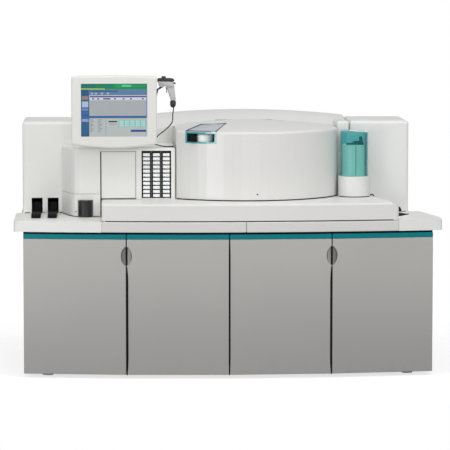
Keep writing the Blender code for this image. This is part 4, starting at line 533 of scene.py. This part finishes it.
# the display's picture: (left, right, foot, head) as shares of the screen, and its colour
screenPicture = {
    "back": (184, 190, 190), "lift": 0.0003, "layer": 0.00002,
    "areas": [
        (0.0, 1.0, 0.910, 1.0, (8, 108, 96)), (0.22, 0.5, 0.915, 0.985, (8, 124, 84)),
        (0.5, 0.78, 0.925, 0.99, (10, 148, 72)), (0.72, 1.0, 0.93, 0.985, (16, 140, 74)),
        (0.62, 0.76, 0.945, 0.975, (84, 196, 140)), (0.0, 0.36, 0.893, 0.912, (170, 196, 52)),
        (0.36, 1.0, 0.893, 0.912, (30, 140, 90)), (0.0, 1.0, 0.785, 0.893, (84, 116, 150)),
        (0.0, 0.12, 0.785, 0.893, (36, 76, 120)), (0.14, 0.56, 0.845, 0.872, (48, 88, 122)),
        (0.0, 0.125, 0.0, 0.785, (42, 88, 128)), (0.015, 0.11, 0.70, 0.765, (140, 116, 104)),
        (0.015, 0.11, 0.555, 0.665, (160, 178, 204)), (0.015, 0.11, 0.49, 0.535, (112, 124, 170)),
        (0.015, 0.11, 0.42, 0.475, (60, 92, 158)), (0.01, 0.115, 0.28, 0.335, (134, 146, 190)),
        (0.135, 0.985, 0.744, 0.768, (44, 54, 120)), (0.135, 0.985, 0.69, 0.742, (196, 199, 214)),
        (0.125, 0.985, 0.39, 0.69, (158, 163, 166)), (0.0, 0.985, 0.348, 0.392, (46, 96, 146)),
        (0.125, 1.0, 0.0, 0.348, (172, 178, 178)), (0.372, 0.379, 0.01, 0.34, (120, 142, 168)),
        (0.415, 0.545, 0.272, 0.296, (34, 38, 36)), (0.43, 0.54, 0.225, 0.242, (150, 156, 154)),
        (0.57, 0.985, 0.185, 0.312, (112, 172, 164)), (0.75, 0.985, 0.088, 0.128, (34, 72, 132)),
        (0.985, 1.0, 0.35, 0.78, (110, 132, 178)),
    ],
    "texts": {"columns": ((0.135, 0.065), (0.255, 0.07)), "lines": 9, "head": 0.325, "pitch": 0.028, "tall": 0.013,
              "wave": 2.1, "least": 0.75, "colour": (132, 136, 138)},
    "heads": {"lefts": (0.17, 0.245, 0.335, 0.50, 0.63, 0.74, 0.92), "wide": 0.028, "widest": 0.11, "long": 0.335,
              "z": (0.702, 0.728), "colour": (64, 68, 80)},
    "cells": {"rows": 3, "columns": 5, "start": (0.578, 0.193), "pitch": (0.081, 0.040), "size": (0.070, 0.030),
              "colour": (168, 206, 200)},
    "icons": {"lefts": (0.15, 0.21, 0.30, 0.39), "wide": 0.035, "z": (0.80, 0.835), "colour": (150, 168, 200)},
}


def makeScreenPicture():
    low, high = span("monitor_screen")
    mesh = bmesh.new()
    tint = mesh.loops.layers.float_color.new("tint")
    depth = low.y - screenPicture["lift"]

    def area(left, right, foot, head, colour, layer):
        y = depth - layer * screenPicture["layer"]
        corners = [(mix(low.x, high.x, u), y, mix(low.z, high.z, v)) for u, v in rectangle(left, right, foot, head)]
        face = mesh.faces.new([mesh.verts.new(corner) for corner in corners])
        for loop in face.loops:
            loop[tint] = (*linear(colour), 1.0)

    area(0.0, 1.0, 0.0, 1.0, screenPicture["back"], 0)
    for layer, row in enumerate(screenPicture["areas"], 1):
        area(*row, layer)
    layer += 1
    look = screenPicture["texts"]
    for column, (left, width) in enumerate(look["columns"]):
        for line in range(look["lines"]):
            head = look["head"] - line * look["pitch"]
            right = left + width * mix(look["least"], 1.0, math.sin(line * look["wave"] + column))
            area(left, right, head - look["tall"], head, look["colour"], layer)
    look = screenPicture["heads"]
    for left in look["lefts"]:
        area(left, left + look["widest" if left == look["long"] else "wide"], *look["z"], look["colour"], layer)
    look = screenPicture["cells"]
    for row in range(look["rows"]):
        for cell in range(look["columns"]):
            left = look["start"][0] + cell * look["pitch"][0]
            foot = look["start"][1] + row * look["pitch"][1]
            area(left, left + look["size"][0], foot, foot + look["size"][1], look["colour"], layer + 1)
    look = screenPicture["icons"]
    for left in look["lefts"]:
        area(left, left + look["wide"], *look["z"], look["colour"], layer + 1)
    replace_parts(piece("screenPicture", mesh, "displayPicture", "monitor", "screen_glass"), "monitor_screen")


makeScreenPicture()
print("display drawn")


# the line where rays from the front, all at one height, meet a node
rays = {"start": -3.0, "way": Vector((0.0, 1.0, 0.0)), "step": 0.0001}


def frontLine(node, left, right, height, steps=48):
    line = []
    for step in range(steps + 1):
        start = Vector((mix(left, right, step / steps), rays["start"], height))
        hit, place = nodes[node].ray_cast(start, rays["way"])[:2]
        if hit:
            line.append(place.copy())
    return line


def frontSpot(node, x, height):
    return frontLine(node, x, x + rays["step"], height, 1)[0]


# dark lines: black strips where one moulding stands on another, which paint the shadow in the gap there, and the
# column's seam
darkLineTable = {
    "lidGasket": {"node": "main_lid", "body": "lid", "inset": 0.003, "height": 0.0052, "out": 0.0016},
    "deckSeal": {"node": "front_skirt", "inset": 0.004, "inRight": 0.002, "height": 0.0034, "out": 0.0012},
    "leftTowerSeal": {"node": "left_tower", "inset": 0.012, "height": 0.0040, "out": 0.0012},
    "rightTowerSeal": {"node": "right_tower", "inset": 0.012, "height": 0.0030, "out": 0.0008},
    "turretSeal": {"node": "turret_base", "inset": 0.006, "height": 0.0040, "out": 0.0010},
    "columnFootSeal": {"node": "column_base", "inset": 0.004, "height": 0.0036, "out": 0.0008},
    "columnSeam": {"node": "column_base", "inset": 0.004, "height": 0.0009, "out": 0.0004, "foot": 0.1172,
                   "sample": 0.112},
}
darkLineLook = {"above": 0.003, "section": [(1.0, 0.0), (1.3, 0.5), (1.0, 1.0), (-1.0, 1.0), (-1.0, 0.0)]}


def makeDarkLine(name, row):
    low, high = span(row["node"])
    height = row["height"]
    foot = low.z + row.get("foot", 0.0)
    level = low.z + row.get("sample", height + darkLineLook["above"])
    left = low.x + row["inset"]
    right = high.x - row.get("inRight", row["inset"])
    line = [Vector((place.x, place.y, foot)) for place in frontLine(row["node"], left, right, level)]
    mesh = bmesh.new()
    sweep(mesh, line, [(row["out"] * a, height * b) for a, b in darkLineLook["section"]])
    piece(name, mesh, "slotBlack", row.get("body", "cabinet"))


for name, row in darkLineTable.items():
    makeDarkLine(name, row)
print("seals laid")

# reagent cartridges: rounded white fronts with a finger notch and a grey label window
cartridgeLook = {"rows": 11, "pitch": 0.0211, "wider": -0.0016, "rounding": 0.0016, "notch": (0.12, 0.28),
                 "dip": 0.14, "front": 0.030, "back": 0.028, "rearRounding": 0.0015,
                 "inset": (0.001, 0.0006, 0.0008)}
labelLook = {"across": (0.50, 0.86), "up": (0.30, 0.38), "lift": 0.0004, "sunk": 0.001}


def makeCartridges(node, body):
    low, high = span(node)
    pitch = cartridgeLook["pitch"]
    tall = (high.z - low.z) - pitch * (cartridgeLook["rows"] - 1)
    low.x -= cartridgeLook["wider"]
    high.x += cartridgeLook["wider"]
    wide = high.x - low.x
    dip = tall * cartridgeLook["dip"]
    side, under, over = cartridgeLook["inset"]
    fronts = bmesh.new()
    labels = bmesh.new()
    for row in range(cartridgeLook["rows"]):
        foot = low.z + pitch * row
        top = foot + tall
        start, end = [low.x + wide * share for share in cartridgeLook["notch"]]
        outline = [(low.x, foot), (start, foot), (start + dip, foot + dip), (end - dip, foot + dip), (end, foot),
                   (high.x, foot), (high.x, top), (low.x, top)]
        addPrism(fronts, outline, "y", low.y, low.y + cartridgeLook["front"], cartridgeLook["rounding"], 2)
        addPrism(fronts, rectangle(low.x + side, high.x - side, foot + dip + under, top - over), "y",
                 low.y + cartridgeLook["back"], high.y, cartridgeLook["rearRounding"], 1)
        left, right = [low.x + wide * share for share in labelLook["across"]]
        addPrism(labels, rectangle(left, right, *[foot + tall * share for share in labelLook["up"]]), "y",
                 low.y - labelLook["lift"], low.y + labelLook["sunk"], *fine)
    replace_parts(piece("cartridgeRow_" + body, fronts, "cartridgeWhite", body, "white_plastic"), node)
    piece("cartridgeLabels_" + body, labels, "labelGrey", body, "white_plastic")


# a thin pale rim beside the first two racks
rimLook = {"wide": 0.0018, "out": 0.0006, "clear": 0.0001}


def makeRackRim(side):
    low, high = span("cartridge_rack_" + side)
    prism("rackRim_" + side, rectangle(high.x - rimLook["wide"], high.x, low.z, high.z), "y",
          low.y - rimLook["out"], low.y - rimLook["clear"], finest, "pullGrey", "magazine_" + side)


for side in ("left", "middle", "right"):
    makeCartridges("cartridges_" + side, "magazine_" + side)
for side in ("left", "middle"):
    makeRackRim(side)
print("cartridges made")

# the hand scanner: a dark shell over a light body, a light handle with a dark boot
scannerLook = {
    "shell": [(0.0, 0.50), (0.05, 0.66), (0.30, 0.66), (0.60, 0.66), (0.84, 0.60), (0.90, 0.66), (0.925, 0.76),
              (0.90, 0.88), (0.80, 0.97), (0.64, 1.0), (0.08, 1.0), (0.0, 0.90)],
    "hook": [(0.80, 0.46), (0.90, 0.33), (0.965, 0.30), (0.995, 0.38), (0.975, 0.50), (0.92, 0.50), (0.86, 0.56)],
    "light": [(0.04, 0.66), (0.07, 0.18), (0.14, 0.03), (0.30, 0.0), (0.44, 0.10), (0.56, 0.04), (0.86, 0.04),
              (0.88, 0.30), (0.86, 0.585), (0.60, 0.615), (0.30, 0.665)],
    "knob": (0.23, 0.46), "knobFoot": 0.96, "grip": [(0.460, 0.25), (0.722, -1.5385), (1.0, -1.5385), (0.905, 0.25)],
    "tall": 0.0455, "foot": 1.4690,
    "solid": {"shell": (0.0225, 0.0045, 3), "knob": (0.012375, 0.002, 2), "hook": (0.018, 0.0012, 2),
              "light": (0.02115, 0.0030, 3), "grip": (0.015, 0.0055, 3)},
    "boot": [(0.0126, 0.0), (0.0150, -0.006), (0.0154, -0.015), (0.0144, -0.024), (0.0116, -0.031),
             (0.0056, -0.0358)],
    "bootShift": -0.0022, "bootSteps": 20,
}


def makeScanner():
    low, high = span("scanner_body")
    long = high.x - low.x
    tall = scannerLook["tall"]
    foot = scannerLook["foot"]
    middle = (low.y + high.y) / 2

    def plate(part, outline=None):
        outline = outline or [(low.x + long * share, foot + tall * up) for share, up in scannerLook[part]]
        half, rounding, steps = scannerLook["solid"][part]
        addPrism(mesh, outline, "y", middle - half, middle + half, rounding, steps)

    mesh = bmesh.new()
    plate("shell")
    left, right = [low.x + long * share for share in scannerLook["knob"]]
    plate("knob", rectangle(left, right, foot + tall * scannerLook["knobFoot"], high.z))
    plate("hook")
    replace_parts(piece("scannerShell", mesh, "scannerDark", "scanner", "scanner_plastic"), "scanner_body")
    mesh = bmesh.new()
    plate("light")
    plate("grip")
    piece("scannerHandle", mesh, "scannerGrey", "scanner", "scanner_plastic")
    mesh = bmesh.new()
    boot = scannerLook["boot"]
    centre = cordTable["scannerCord"]["points"][0][0] + scannerLook["bootShift"]
    profile = [(radius, low.z - boot[-1][1] + down) for radius, down in boot]
    addTurned(mesh, (centre, middle), profile, scannerLook["bootSteps"])
    piece("scannerBoot", mesh, "scannerDark", "scanner", "scanner_plastic")


makeScanner()
print("scanner made")

# the pass-through slot in the right wing: a black liner, a black sheet round its mouth and a black strip up the
# tower, all painted shade for the dark slot and the gap beside it
mouthLook = {"shadowSheet": [(0.8672, -0.0530), (0.8890, -0.0530), (0.9330, -0.1500), (0.9390, -0.1900), (0.8672, -0.2850)],
             "shadowSheetTall": 0.0007, "gap": (0.9150, 0.9290), "gapTop": 0.828, "gapOut": (0.0016, 0.0002), "gapUp": 0.001,
             "shoulder": (0.55, 0.004), "low": 0.016}


def makeSlotMouth():
    top = span("worktop")[1].z
    face = span("right_tower")[0].y
    mesh = bmesh.new()
    addPrism(mesh, mouthLook["shadowSheet"], "z", top, top + mouthLook["shadowSheetTall"], *finest)
    left, right = mouthLook["gap"]
    foot = top + mouthLook["gapUp"]
    high = mouthLook["gapTop"]
    share, down = mouthLook["shoulder"]
    outline = [(left, foot), (right, foot), (right, high - mouthLook["low"]), (mix(left, right, share), high - down),
               (left, high)]
    addPrism(mesh, outline, "y", *[face - out for out in mouthLook["gapOut"]], *fine)
    piece("slotMouth", mesh, "slotBlack")


# the liner's rings: outside from its foot to its lip, then inside from the lip down to its floor
slotLook = {"start": 0.8696, "wide": 0.088, "long": 0.15, "back": 0.11, "depth": 0.034, "outer": 0.998, "inner": 0.97,
            "foot": 0.0002, "floor": 0.002, "lip": 0.0004,
            "shares": [(0.0, 0.0), (0.30, 0.0), (1.0, 0.73), (0.94, 1.0), (0.13, 0.93)]}


def makeSlotLiner():
    top = span("worktop")[1].z
    near = span("right_tower")[0].y - slotLook["back"] - slotLook["long"]
    outline = [Vector((slotLook["start"] + slotLook["wide"] * a, near + slotLook["long"] * b))
               for a, b in slotLook["shares"]]
    middle = sum(outline, Vector((0.0, 0.0))) / len(outline)
    foot = top - slotLook["depth"]
    lip = top - slotLook["lip"]
    levels = [("outer", foot + slotLook["foot"]), ("outer", lip), ("inner", lip), ("inner", foot + slotLook["floor"])]
    mesh = bmesh.new()
    loft(mesh, [[mesh.verts.new((*(middle + (spot - middle) * slotLook[wall]), height)) for spot in outline]
                for wall, height in levels])
    piece("slotLiner", mesh, "slotBlack")


makeSlotLiner()
makeSlotMouth()
print("slot lined")

# small fittings: a screw head low on the drum and one on the column
screwTable = {
    "drumScrew": {"node": "main_lid", "body": "lid", "x": 0.151, "z": 0.925, "radius": 0.0042},
    "columnScrew": {"node": "column_base", "x": -0.777, "z": 0.826, "radius": 0.0036},
}
screwLook = {"steps": 20, "profile": [(1.0, 0.0004), (1.0, -0.0006), (0.8, -0.0012), (0.35, -0.0012), (0.3, -0.0002)]}


def makeScrew(name, row):
    place = frontSpot(row["node"], row["x"], row["z"])
    rings = [(row["radius"] * share, depth) for share, depth in screwLook["profile"]]
    mesh = bmesh.new()
    loft(mesh, [[mesh.verts.new((place.x + a, place.y + depth, place.z + b))
                 for a, b in oval(radius, radius, screwLook["steps"])] for radius, depth in rings])
    piece(name, mesh, "keyBlack", row.get("body", "cabinet"))


for name, row in screwTable.items():
    makeScrew(name, row)
print("fittings made")

# black strips that paint the shade in the gaps round the access door: an upright on each side, the sill under it and
# a line over it
edgeTable = {
    "accessLeftEdge": [(-0.6517, -0.6463), (-0.2792, -0.262), (0.8008, 1.137)],
    "accessRightEdge": [(-0.4698, -0.4682), (-0.2808, -0.274), (0.893, 1.137)],
    "accessFootEdge": [(-0.6460, -0.4680), (-0.2815, -0.270), (0.8903, 0.8926)],
    "accessHeadEdge": [(-0.646, -0.470), (-0.2790, -0.270), (1.1346, 1.1368)],
}
for name, (x, y, z) in edgeTable.items():
    prism(name, rectangle(*x, *y), "z", *z, small, "slotBlack")
print("edges made")

# doors: black edge strips that paint the shade in the seams, and a grey dish in each half of a finger pull. A row
# names the door, the leaf's edge in x, and for a strip its width and heights.
seamTable = {
    "seamDoor1": (1, "high", 0.0068, (0.021, 0.571)),
    "seamDoor2Left": (2, "low", 0.0076, (0.021, 0.571)),
    "seamDoor1Top": (1, "high", 0.0034, (0.679, 0.712)),
    "seamDoor2Right": (2, "high", 0.0026, (0.021, 0.712)),
    "seamDoor3Left": (3, "low", 0.0040, (0.021, 0.712)),
    "seamDoor3Right": (3, "high", 0.0068, (0.021, 0.571)),
    "seamDoor4": (4, "low", 0.0062, (0.021, 0.571)),
    "seamDoor4Top": (4, "low", 0.0034, (0.679, 0.712)),
}
seamLook = {"out": 0.0004, "sunk": 0.0008, "steps": 14, "thin": 0.35, "swell": 3.2}
dishTable = {"dishDoor1": (1, "high"), "dishDoor2": (2, "low"), "dishDoor3": (3, "high"), "dishDoor4": (4, "low")}
dishLook = {"half": 0.0222, "foot": 0.574, "tall": 0.102, "steps": 16, "near": 0.0003, "least": 0.0006,
            "dark": (1, 4), "rings": [(1.0, 0.0065), (1.0, 0.0014), (0.93, 0.0014), (0.86, 0.0035), (0.5, 0.0042)]}
leafLook = {"inset": 0.0024, "reach": 0.08, "height": 0.30}


# a leaf's front corner, the way inwards along its face, and the way out of it
def doorFace(door, edge):
    node = f"door_panel_{door}"
    low, high = span(node)
    x, way = (high.x - leafLook["inset"], -1) if edge == "high" else (low.x + leafLook["inset"], 1)
    first, second = (frontSpot(node, place, leafLook["height"]) for place in (x, x + way * leafLook["reach"]))
    along = (second - first).normalized()
    out = Vector((along.y, -along.x, 0.0))
    if out.y > 0:
        out = -out
    return first - along * leafLook["inset"] / abs(along.x), along, out


def makeSeam(name, door, edge, wide, heights):
    corner, along, out = doorFace(door, edge)
    front = out * seamLook["out"]
    back = out * -seamLook["sunk"]
    mesh = bmesh.new()
    rings = []
    for step in range(seamLook["steps"] + 1):
        share = step / seamLook["steps"]
        swell = min(1.0, seamLook["swell"] * math.sin(math.pi * share))
        far = corner + along * wide * mix(seamLook["thin"], 1.0, swell)
        rings.append([mesh.verts.new((spot.x, spot.y, mix(*heights, share)))
                      for spot in (corner + front, far + front, far + back, corner + back)])
    loft(mesh, rings)
    piece(name, mesh, "laneBlack", f"door_{door}")


# a black strip set in the gap beside each finger pull: painted shade
pullLine = {"wide": 0.0036, "near": 0.0014, "far": 0.0075, "z": (0.579, 0.671)}


def makePullLine(name, door, edge):
    corner, along, out = doorFace(door, edge)
    near, far = (corner - out * pullLine[depth] for depth in ("near", "far"))
    wide = along * pullLine["wide"]
    prism(name, [spot.xy for spot in (near, near + wide, far + wide, far)], "z", *pullLine["z"], square,
          "laneBlack", f"door_{door}")


def makeDish(name, door, edge):
    corner, along, out = doorFace(door, edge)
    middle = dishLook["foot"] + dishLook["tall"] / 2
    mesh = bmesh.new()
    rings = []
    for shrink, sunk in dishLook["rings"]:
        spots = [(dishLook["near"], -1.0)]
        for step in range(dishLook["steps"] + 1):
            side = 2 * step / dishLook["steps"] - 1
            lens = dishLook["half"] * math.sqrt(max(0.0, 1 - side ** 2)) * shrink
            spots.append((max(lens, dishLook["least"]), side))
        spots.append((dishLook["near"], 1.0))
        places = [(corner + along * wide - out * sunk, side) for wide, side in spots]
        rings.append([mesh.verts.new((place.x, place.y, middle + dishLook["tall"] / 2 * side * shrink))
                      for place, side in places])
    loft(mesh, rings)
    piece(name, mesh, "pullDark" if door in dishLook["dark"] else "pullGrey", f"door_{door}")


# black strips that fill most of each gap between two doors, fixed to one leaf's edge: painted shade in the gap
gapTable = {"gapDoor1": (1, "high", 0.0034), "gapDoor4": (4, "low", 0.0034), "gapDoor2": (2, "high", 0.0030)}
gapLook = {"out": -0.0004, "deep": 0.014, "foot": 0.016, "under": 0.0008, "start": 0.0001}


def makeGap(name, door, edge, wide):
    corner, along, out = doorFace(door, edge)
    near = out * gapLook["out"]
    far = near - out * gapLook["deep"]
    start = corner - along * gapLook["start"]
    end = corner - along * wide
    prism(name, [spot.xy for spot in (start + near, end + near, end + far, start + far)], "z", gapLook["foot"],
          span(f"door_strip_{door}")[1].z - gapLook["under"], fine, "laneBlack", f"door_{door}")


lineTable = {name.replace("dish", "line"): row for name, row in dishTable.items()}
for make, table in ((makeGap, gapTable), (makeSeam, seamTable), (makePullLine, lineTable), (makeDish, dishTable)):
    for name, row in table.items():
        make(name, *row)
print("door seams and pulls made")

# turret: the column, which glows as painted light, with a line down its front and the black arm on it
turretLook = {"sleeve": 0.0620, "top": 1.1605, "lift": 0.0008, "near": -0.047, "far": -0.040,
              "bar": [(-0.046, 0.0), (0.045, 0.0), (0.045, 0.0165), (0.0385, 0.0190), (0.0365, 0.0430),
                      (0.0215, 0.0430), (0.0205, 0.0205), (-0.0060, 0.0195), (-0.0120, 0.0110), (-0.046, 0.0085)],
              "slit": (0.0012, 0.0060), "slitEnds": (0.004, -0.003), "slitOut": 0.0005, "slitDeep": 0.004,
              "foot": 0.0005, "edge": 0.002, "hole": (0.004, 0.0002), "steps": 48}


def turretAxis():
    low, high = span("turret_base")
    return ((low.x + high.x) / 2, (low.y + high.y) / 2)


def makeTurret():
    x, y = turretAxis()
    foot = span("turret_cover")[0].z + turretLook["foot"]
    sleeve = turretLook["sleeve"]
    top = turretLook["top"]
    edge = turretLook["edge"]
    hole, rise = turretLook["hole"]
    mesh = bmesh.new()
    addTurned(mesh, (x, y), [(sleeve, foot), (sleeve, top - edge), (sleeve - edge, top), (hole, top + rise)],
              turretLook["steps"])
    piece("turretColumn", mesh, "litColumn", slot="white_plastic")
    outline = [(x + aside, top + turretLook["lift"] + up) for aside, up in turretLook["bar"]]
    prism("turretArm", outline, "y", y + turretLook["near"], y + turretLook["far"], square, "laneBlack")
    left, right = turretLook["slit"]
    under, over = turretLook["slitEnds"]
    front = y - sleeve - turretLook["slitOut"]
    prism("turretSlit", rectangle(x + left, x + right, foot + under, top + over), "y", front,
          front + turretLook["slitDeep"], small, "slitShade")


# the cover's lining at the back, a deep teal sheet at the right that paints the cover's shade there, and its pale
# slanted rim
coverLook = {"wall": 0.0048, "thin": 0.0006, "backTurn": (8, 172), "backTop": 0.012, "backFoot": -0.004,
             "shadeTurn": (322, 366), "shadeTop": 0.024, "shadeFoot": 0.002, "rimTurn": (244, 395), "rimIn": 0.0024,
             "rimUp": 0.0014, "rimSize": (0.0026, 0.0024), "rimSides": 8, "backIn": 0.001, "over": 2.0,
             "steps": {"back": 30, "shade": 12, "rim": 56}}


def around(radius, turn, height, steps):
    return [Vector((a, b, height)) for a, b in arc(turretAxis(), radius, *turn, steps)]


def makeLining(name, line, tall, finish):
    thin = coverLook["thin"]
    mesh = bmesh.new()
    sweep(mesh, line, [(0.0, 0.0), (thin, 0.0), (thin, tall), (0.0, tall)])
    piece(name, mesh, finish, "turret", "clear_teal")


def makeCoverTrim():
    low, high = span("turret_cover")
    look = coverLook
    steps = look["steps"]
    outer = high.x - turretAxis()[0]
    inside = outer - look["wall"]
    foot = turretLook["top"] + look["backFoot"]
    makeLining("coverBack", around(inside - look["backIn"], look["backTurn"], foot, steps["back"]),
               high.z - look["backTop"] - foot, "turretBack")
    makeLining("coverShade", around(inside, look["shadeTurn"], low.z + look["shadeFoot"], steps["shade"]),
               high.z - look["shadeTop"] - low.z, "turretDeep")
    rim = []
    for spot in around(outer - look["rimIn"], look["rimTurn"], look["over"], steps["rim"]):
        hit, place = nodes["turret_cover"].ray_cast(spot, Vector((0.0, 0.0, -1.0)))[:2]
        if hit:
            rim.append(Vector((spot.x, spot.y, place.z + look["rimUp"])))
    mesh = bmesh.new()
    sweep(mesh, rim, oval(*look["rimSize"], look["rimSides"]))
    piece("coverRim", mesh, "cartridgeWhite", "turret", "white_plastic")


# a small black catch on the deck beside the turret
catchLook = {"x": 0.0775, "wide": 0.028, "y": -0.012, "deep": 0.008, "tall": 0.0125,
             "line": [(0.0, 0.0), (0.05, 0.62), (0.22, 0.95), (0.72, 1.0), (1.0, 0.36), (1.0, 0.0), (0.86, 0.0),
                      (0.66, 0.52), (0.30, 0.55), (0.14, 0.0)]}


def makeCatch():
    x, y = turretAxis()
    left = x + catchLook["x"]
    front = y + catchLook["y"]
    foot = span("front_skirt")[1].z
    outline = [(left + catchLook["wide"] * u, foot + catchLook["tall"] * v) for u, v in catchLook["line"]]
    prism("deckCatch", outline, "y", front, front + catchLook["deep"], small, "slotBlack")


makeTurret()
makeCoverTrim()
makeCatch()
print("turret made")

# window in the lid: a dark rim round the glass on top, and behind the front a dark block and a white drum
rimLine = {"radius": 0.0032, "sides": 6, "level": 0.6, "deep": 0.030}
windowLook = {"block": (0.10, 0.25), "blockFoot": 0.004, "blockTop": (0.010, 0.002), "slant": 0.05, "front": 0.004,
              "depth": 0.040, "drum": (0.262, 0.64), "drumFoot": 0.003, "drumTop": 0.004, "drumIn": 0.001,
              "blockRounding": (0.002, 2), "drumSteps": 40, "drumFeet": [(0.97, 0.0), (1.0, 0.003)],
              "drumRims": [(1.0, 0.008), (1.0, 0.006), (0.93, 0.005), (0.93, 0.001), (0.9, 0.0)]}


def makeWindowRim():
    glass = nodes["window_glass"].data
    uses = {}
    for face in glass.polygons:
        if face.normal.z > rimLine["level"]:
            for edge in face.edge_keys:
                uses[edge] = uses.get(edge, 0) + 1
    corners = {corner for edge, count in uses.items() if count == 1 for corner in edge}
    border = [glass.vertices[corner].co for corner in sorted(corners)]
    high = max(spot.z for spot in border)
    outline = [spot.copy() for spot in border if spot.z > high - rimLine["deep"]]
    middle = sum(outline, Vector()) / len(outline)
    reach = {}
    for spot in outline:
        turn = round(math.degrees(math.atan2(spot.y - middle.y, spot.x - middle.x)))
        if turn not in reach or (spot - middle).length > (reach[turn] - middle).length:
            reach[turn] = spot
    ring = [reach[turn] for turn in sorted(reach)]
    radius = rimLine["radius"]
    mesh = bmesh.new()
    sweep(mesh, [spot + (middle - spot).normalized() * radius for spot in ring + ring[:1]],
          oval(radius, radius, rimLine["sides"]))
    piece("windowRim", mesh, "scannerDark", "lid", "clear_teal")


def makeWindowContents():
    low, high = span("window_contents")
    sides = [corner.x for corner in span("window_frame")]
    look = windowLook
    left, right = (mix(*sides, share) for share in look["block"])
    foot = low.z + look["blockFoot"]
    rightTop, leftTop = (high.z - down for down in look["blockTop"])
    outline = [(left, foot), (right, foot), (right - (high.x - low.x) * look["slant"], rightTop), (left, leftTop)]
    block = prism("windowBlock", outline, "y", low.y + look["front"], low.y + look["depth"], look["blockRounding"],
                  "slotBlack", "lid")
    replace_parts(block, "window_contents")
    mesh = bmesh.new()
    left, right = (mix(*sides, share) for share in look["drum"])
    radius = min((right - left) / 2, (high.y - low.y) / 2 - look["drumIn"])
    x, y = (left + right) / 2, (low.y + high.y) / 2
    foot = low.z + look["drumFoot"]
    top = high.z - look["drumTop"]
    profile = [(share, foot + up) for share, up in look["drumFeet"]]
    profile += [(share, top - down) for share, down in look["drumRims"]]
    addTurned(mesh, (x, y), [(radius * share, height) for share, height in profile], look["drumSteps"])
    for point in mesh.verts:
        point.co.x = x + (point.co.x - x) * (right - left) / 2 / radius
    piece("windowDrum", mesh, "cartridgeWhite", "lid", "white_plastic")


makeWindowRim()
makeWindowContents()
print("window contents made")

# the floor: pale, glowing to the camera alone, and fading away round the machine
floorLook = {"half": 4.0, "noise": (0.6, 2.0), "colour": (0.35, 0.35, 0.35), "deep": (0.33, 0.33, 0.33), "rough": 0.8,
             "glow": 0.72, "fade": (1.3, 2.2)}


def makeFloor():
    half = floorLook["half"]
    mesh = bmesh.new()
    mesh.faces.new([mesh.verts.new((x, y, 0.0)) for x, y in rectangle(-half, half, -half, half)])
    data = bpy.data.meshes.new("paleFloor")
    mesh.to_mesh(data)
    mesh.free()
    graph = Graph("paleFloor")
    seen = graph.add("LightPath")
    reach = graph.add("VectorMath", {"operation": "LENGTH"}, {0: graph.add("TexCoord", out=3)}, out=1)
    graph.give({"Base Color": graph.blendColours(graph.noise(*floorLook["noise"]), floorLook["colour"],
                                                 floorLook["deep"]),
                "Roughness": floorLook["rough"], "Emission Color": (1.0, 1.0, 1.0),
                "Emission Strength": seen * floorLook["glow"], "Alpha": graph.fade(reach, *floorLook["fade"])})
    data.materials.append(graph.material)
    link("paleFloor", data)


# studio light: a white surround, brighter to the camera, and broad lights over and before the machine
lampTable = {
    "overheadLight": {"place": (0.0, -1.8, 5.0), "aim": (0.0, -0.1, 0.8), "size": (5.0, 3.0), "power": 122.0},
    "frontLight": {"place": (-3.0, -7.0, 3.4), "aim": (0.0, -0.3, 0.8), "size": (3.0, 3.0), "power": 14.0},
    "nearLight": {"place": (1.2, -13.4, 2.1), "aim": (0.0, -0.3, 0.8), "size": (0.8, 0.6), "power": 122.0},
    "rightLight": {"place": (4.4, -5.6, 3.4), "aim": (0.3, -0.2, 1.1), "size": (2.5, 2.5), "power": 84.0},
    "lowLeftLight": {"place": (-3.4, -4.6, 0.9), "aim": (-0.9, -0.5, 0.5), "size": (1.6, 1.2), "power": 53.0},
}
surround = {"seen": 1.0, "cast": 0.46}


def makeLights():
    for name, look in lampTable.items():
        data = bpy.data.lights.new(name, "AREA")
        data.shape = "RECTANGLE"
        data.size, data.size_y = look["size"]
        data.energy = look["power"]
        lamp = link(name, data)
        lamp.location = look["place"]
        turnAlong(lamp, Vector(look["aim"]) - Vector(look["place"]))
    graph = Graph("whiteSurround", bpy.data.worlds, "Background")
    strength = graph.add("MapRange", None, {0: graph.add("LightPath"), 3: surround["cast"], 4: surround["seen"]})
    graph.give({"Color": (1.0, 1.0, 1.0), "Strength": strength})
    bpy.context.scene.world = graph.material


makeFloor()
makeLights()
print("floor and lights placed")
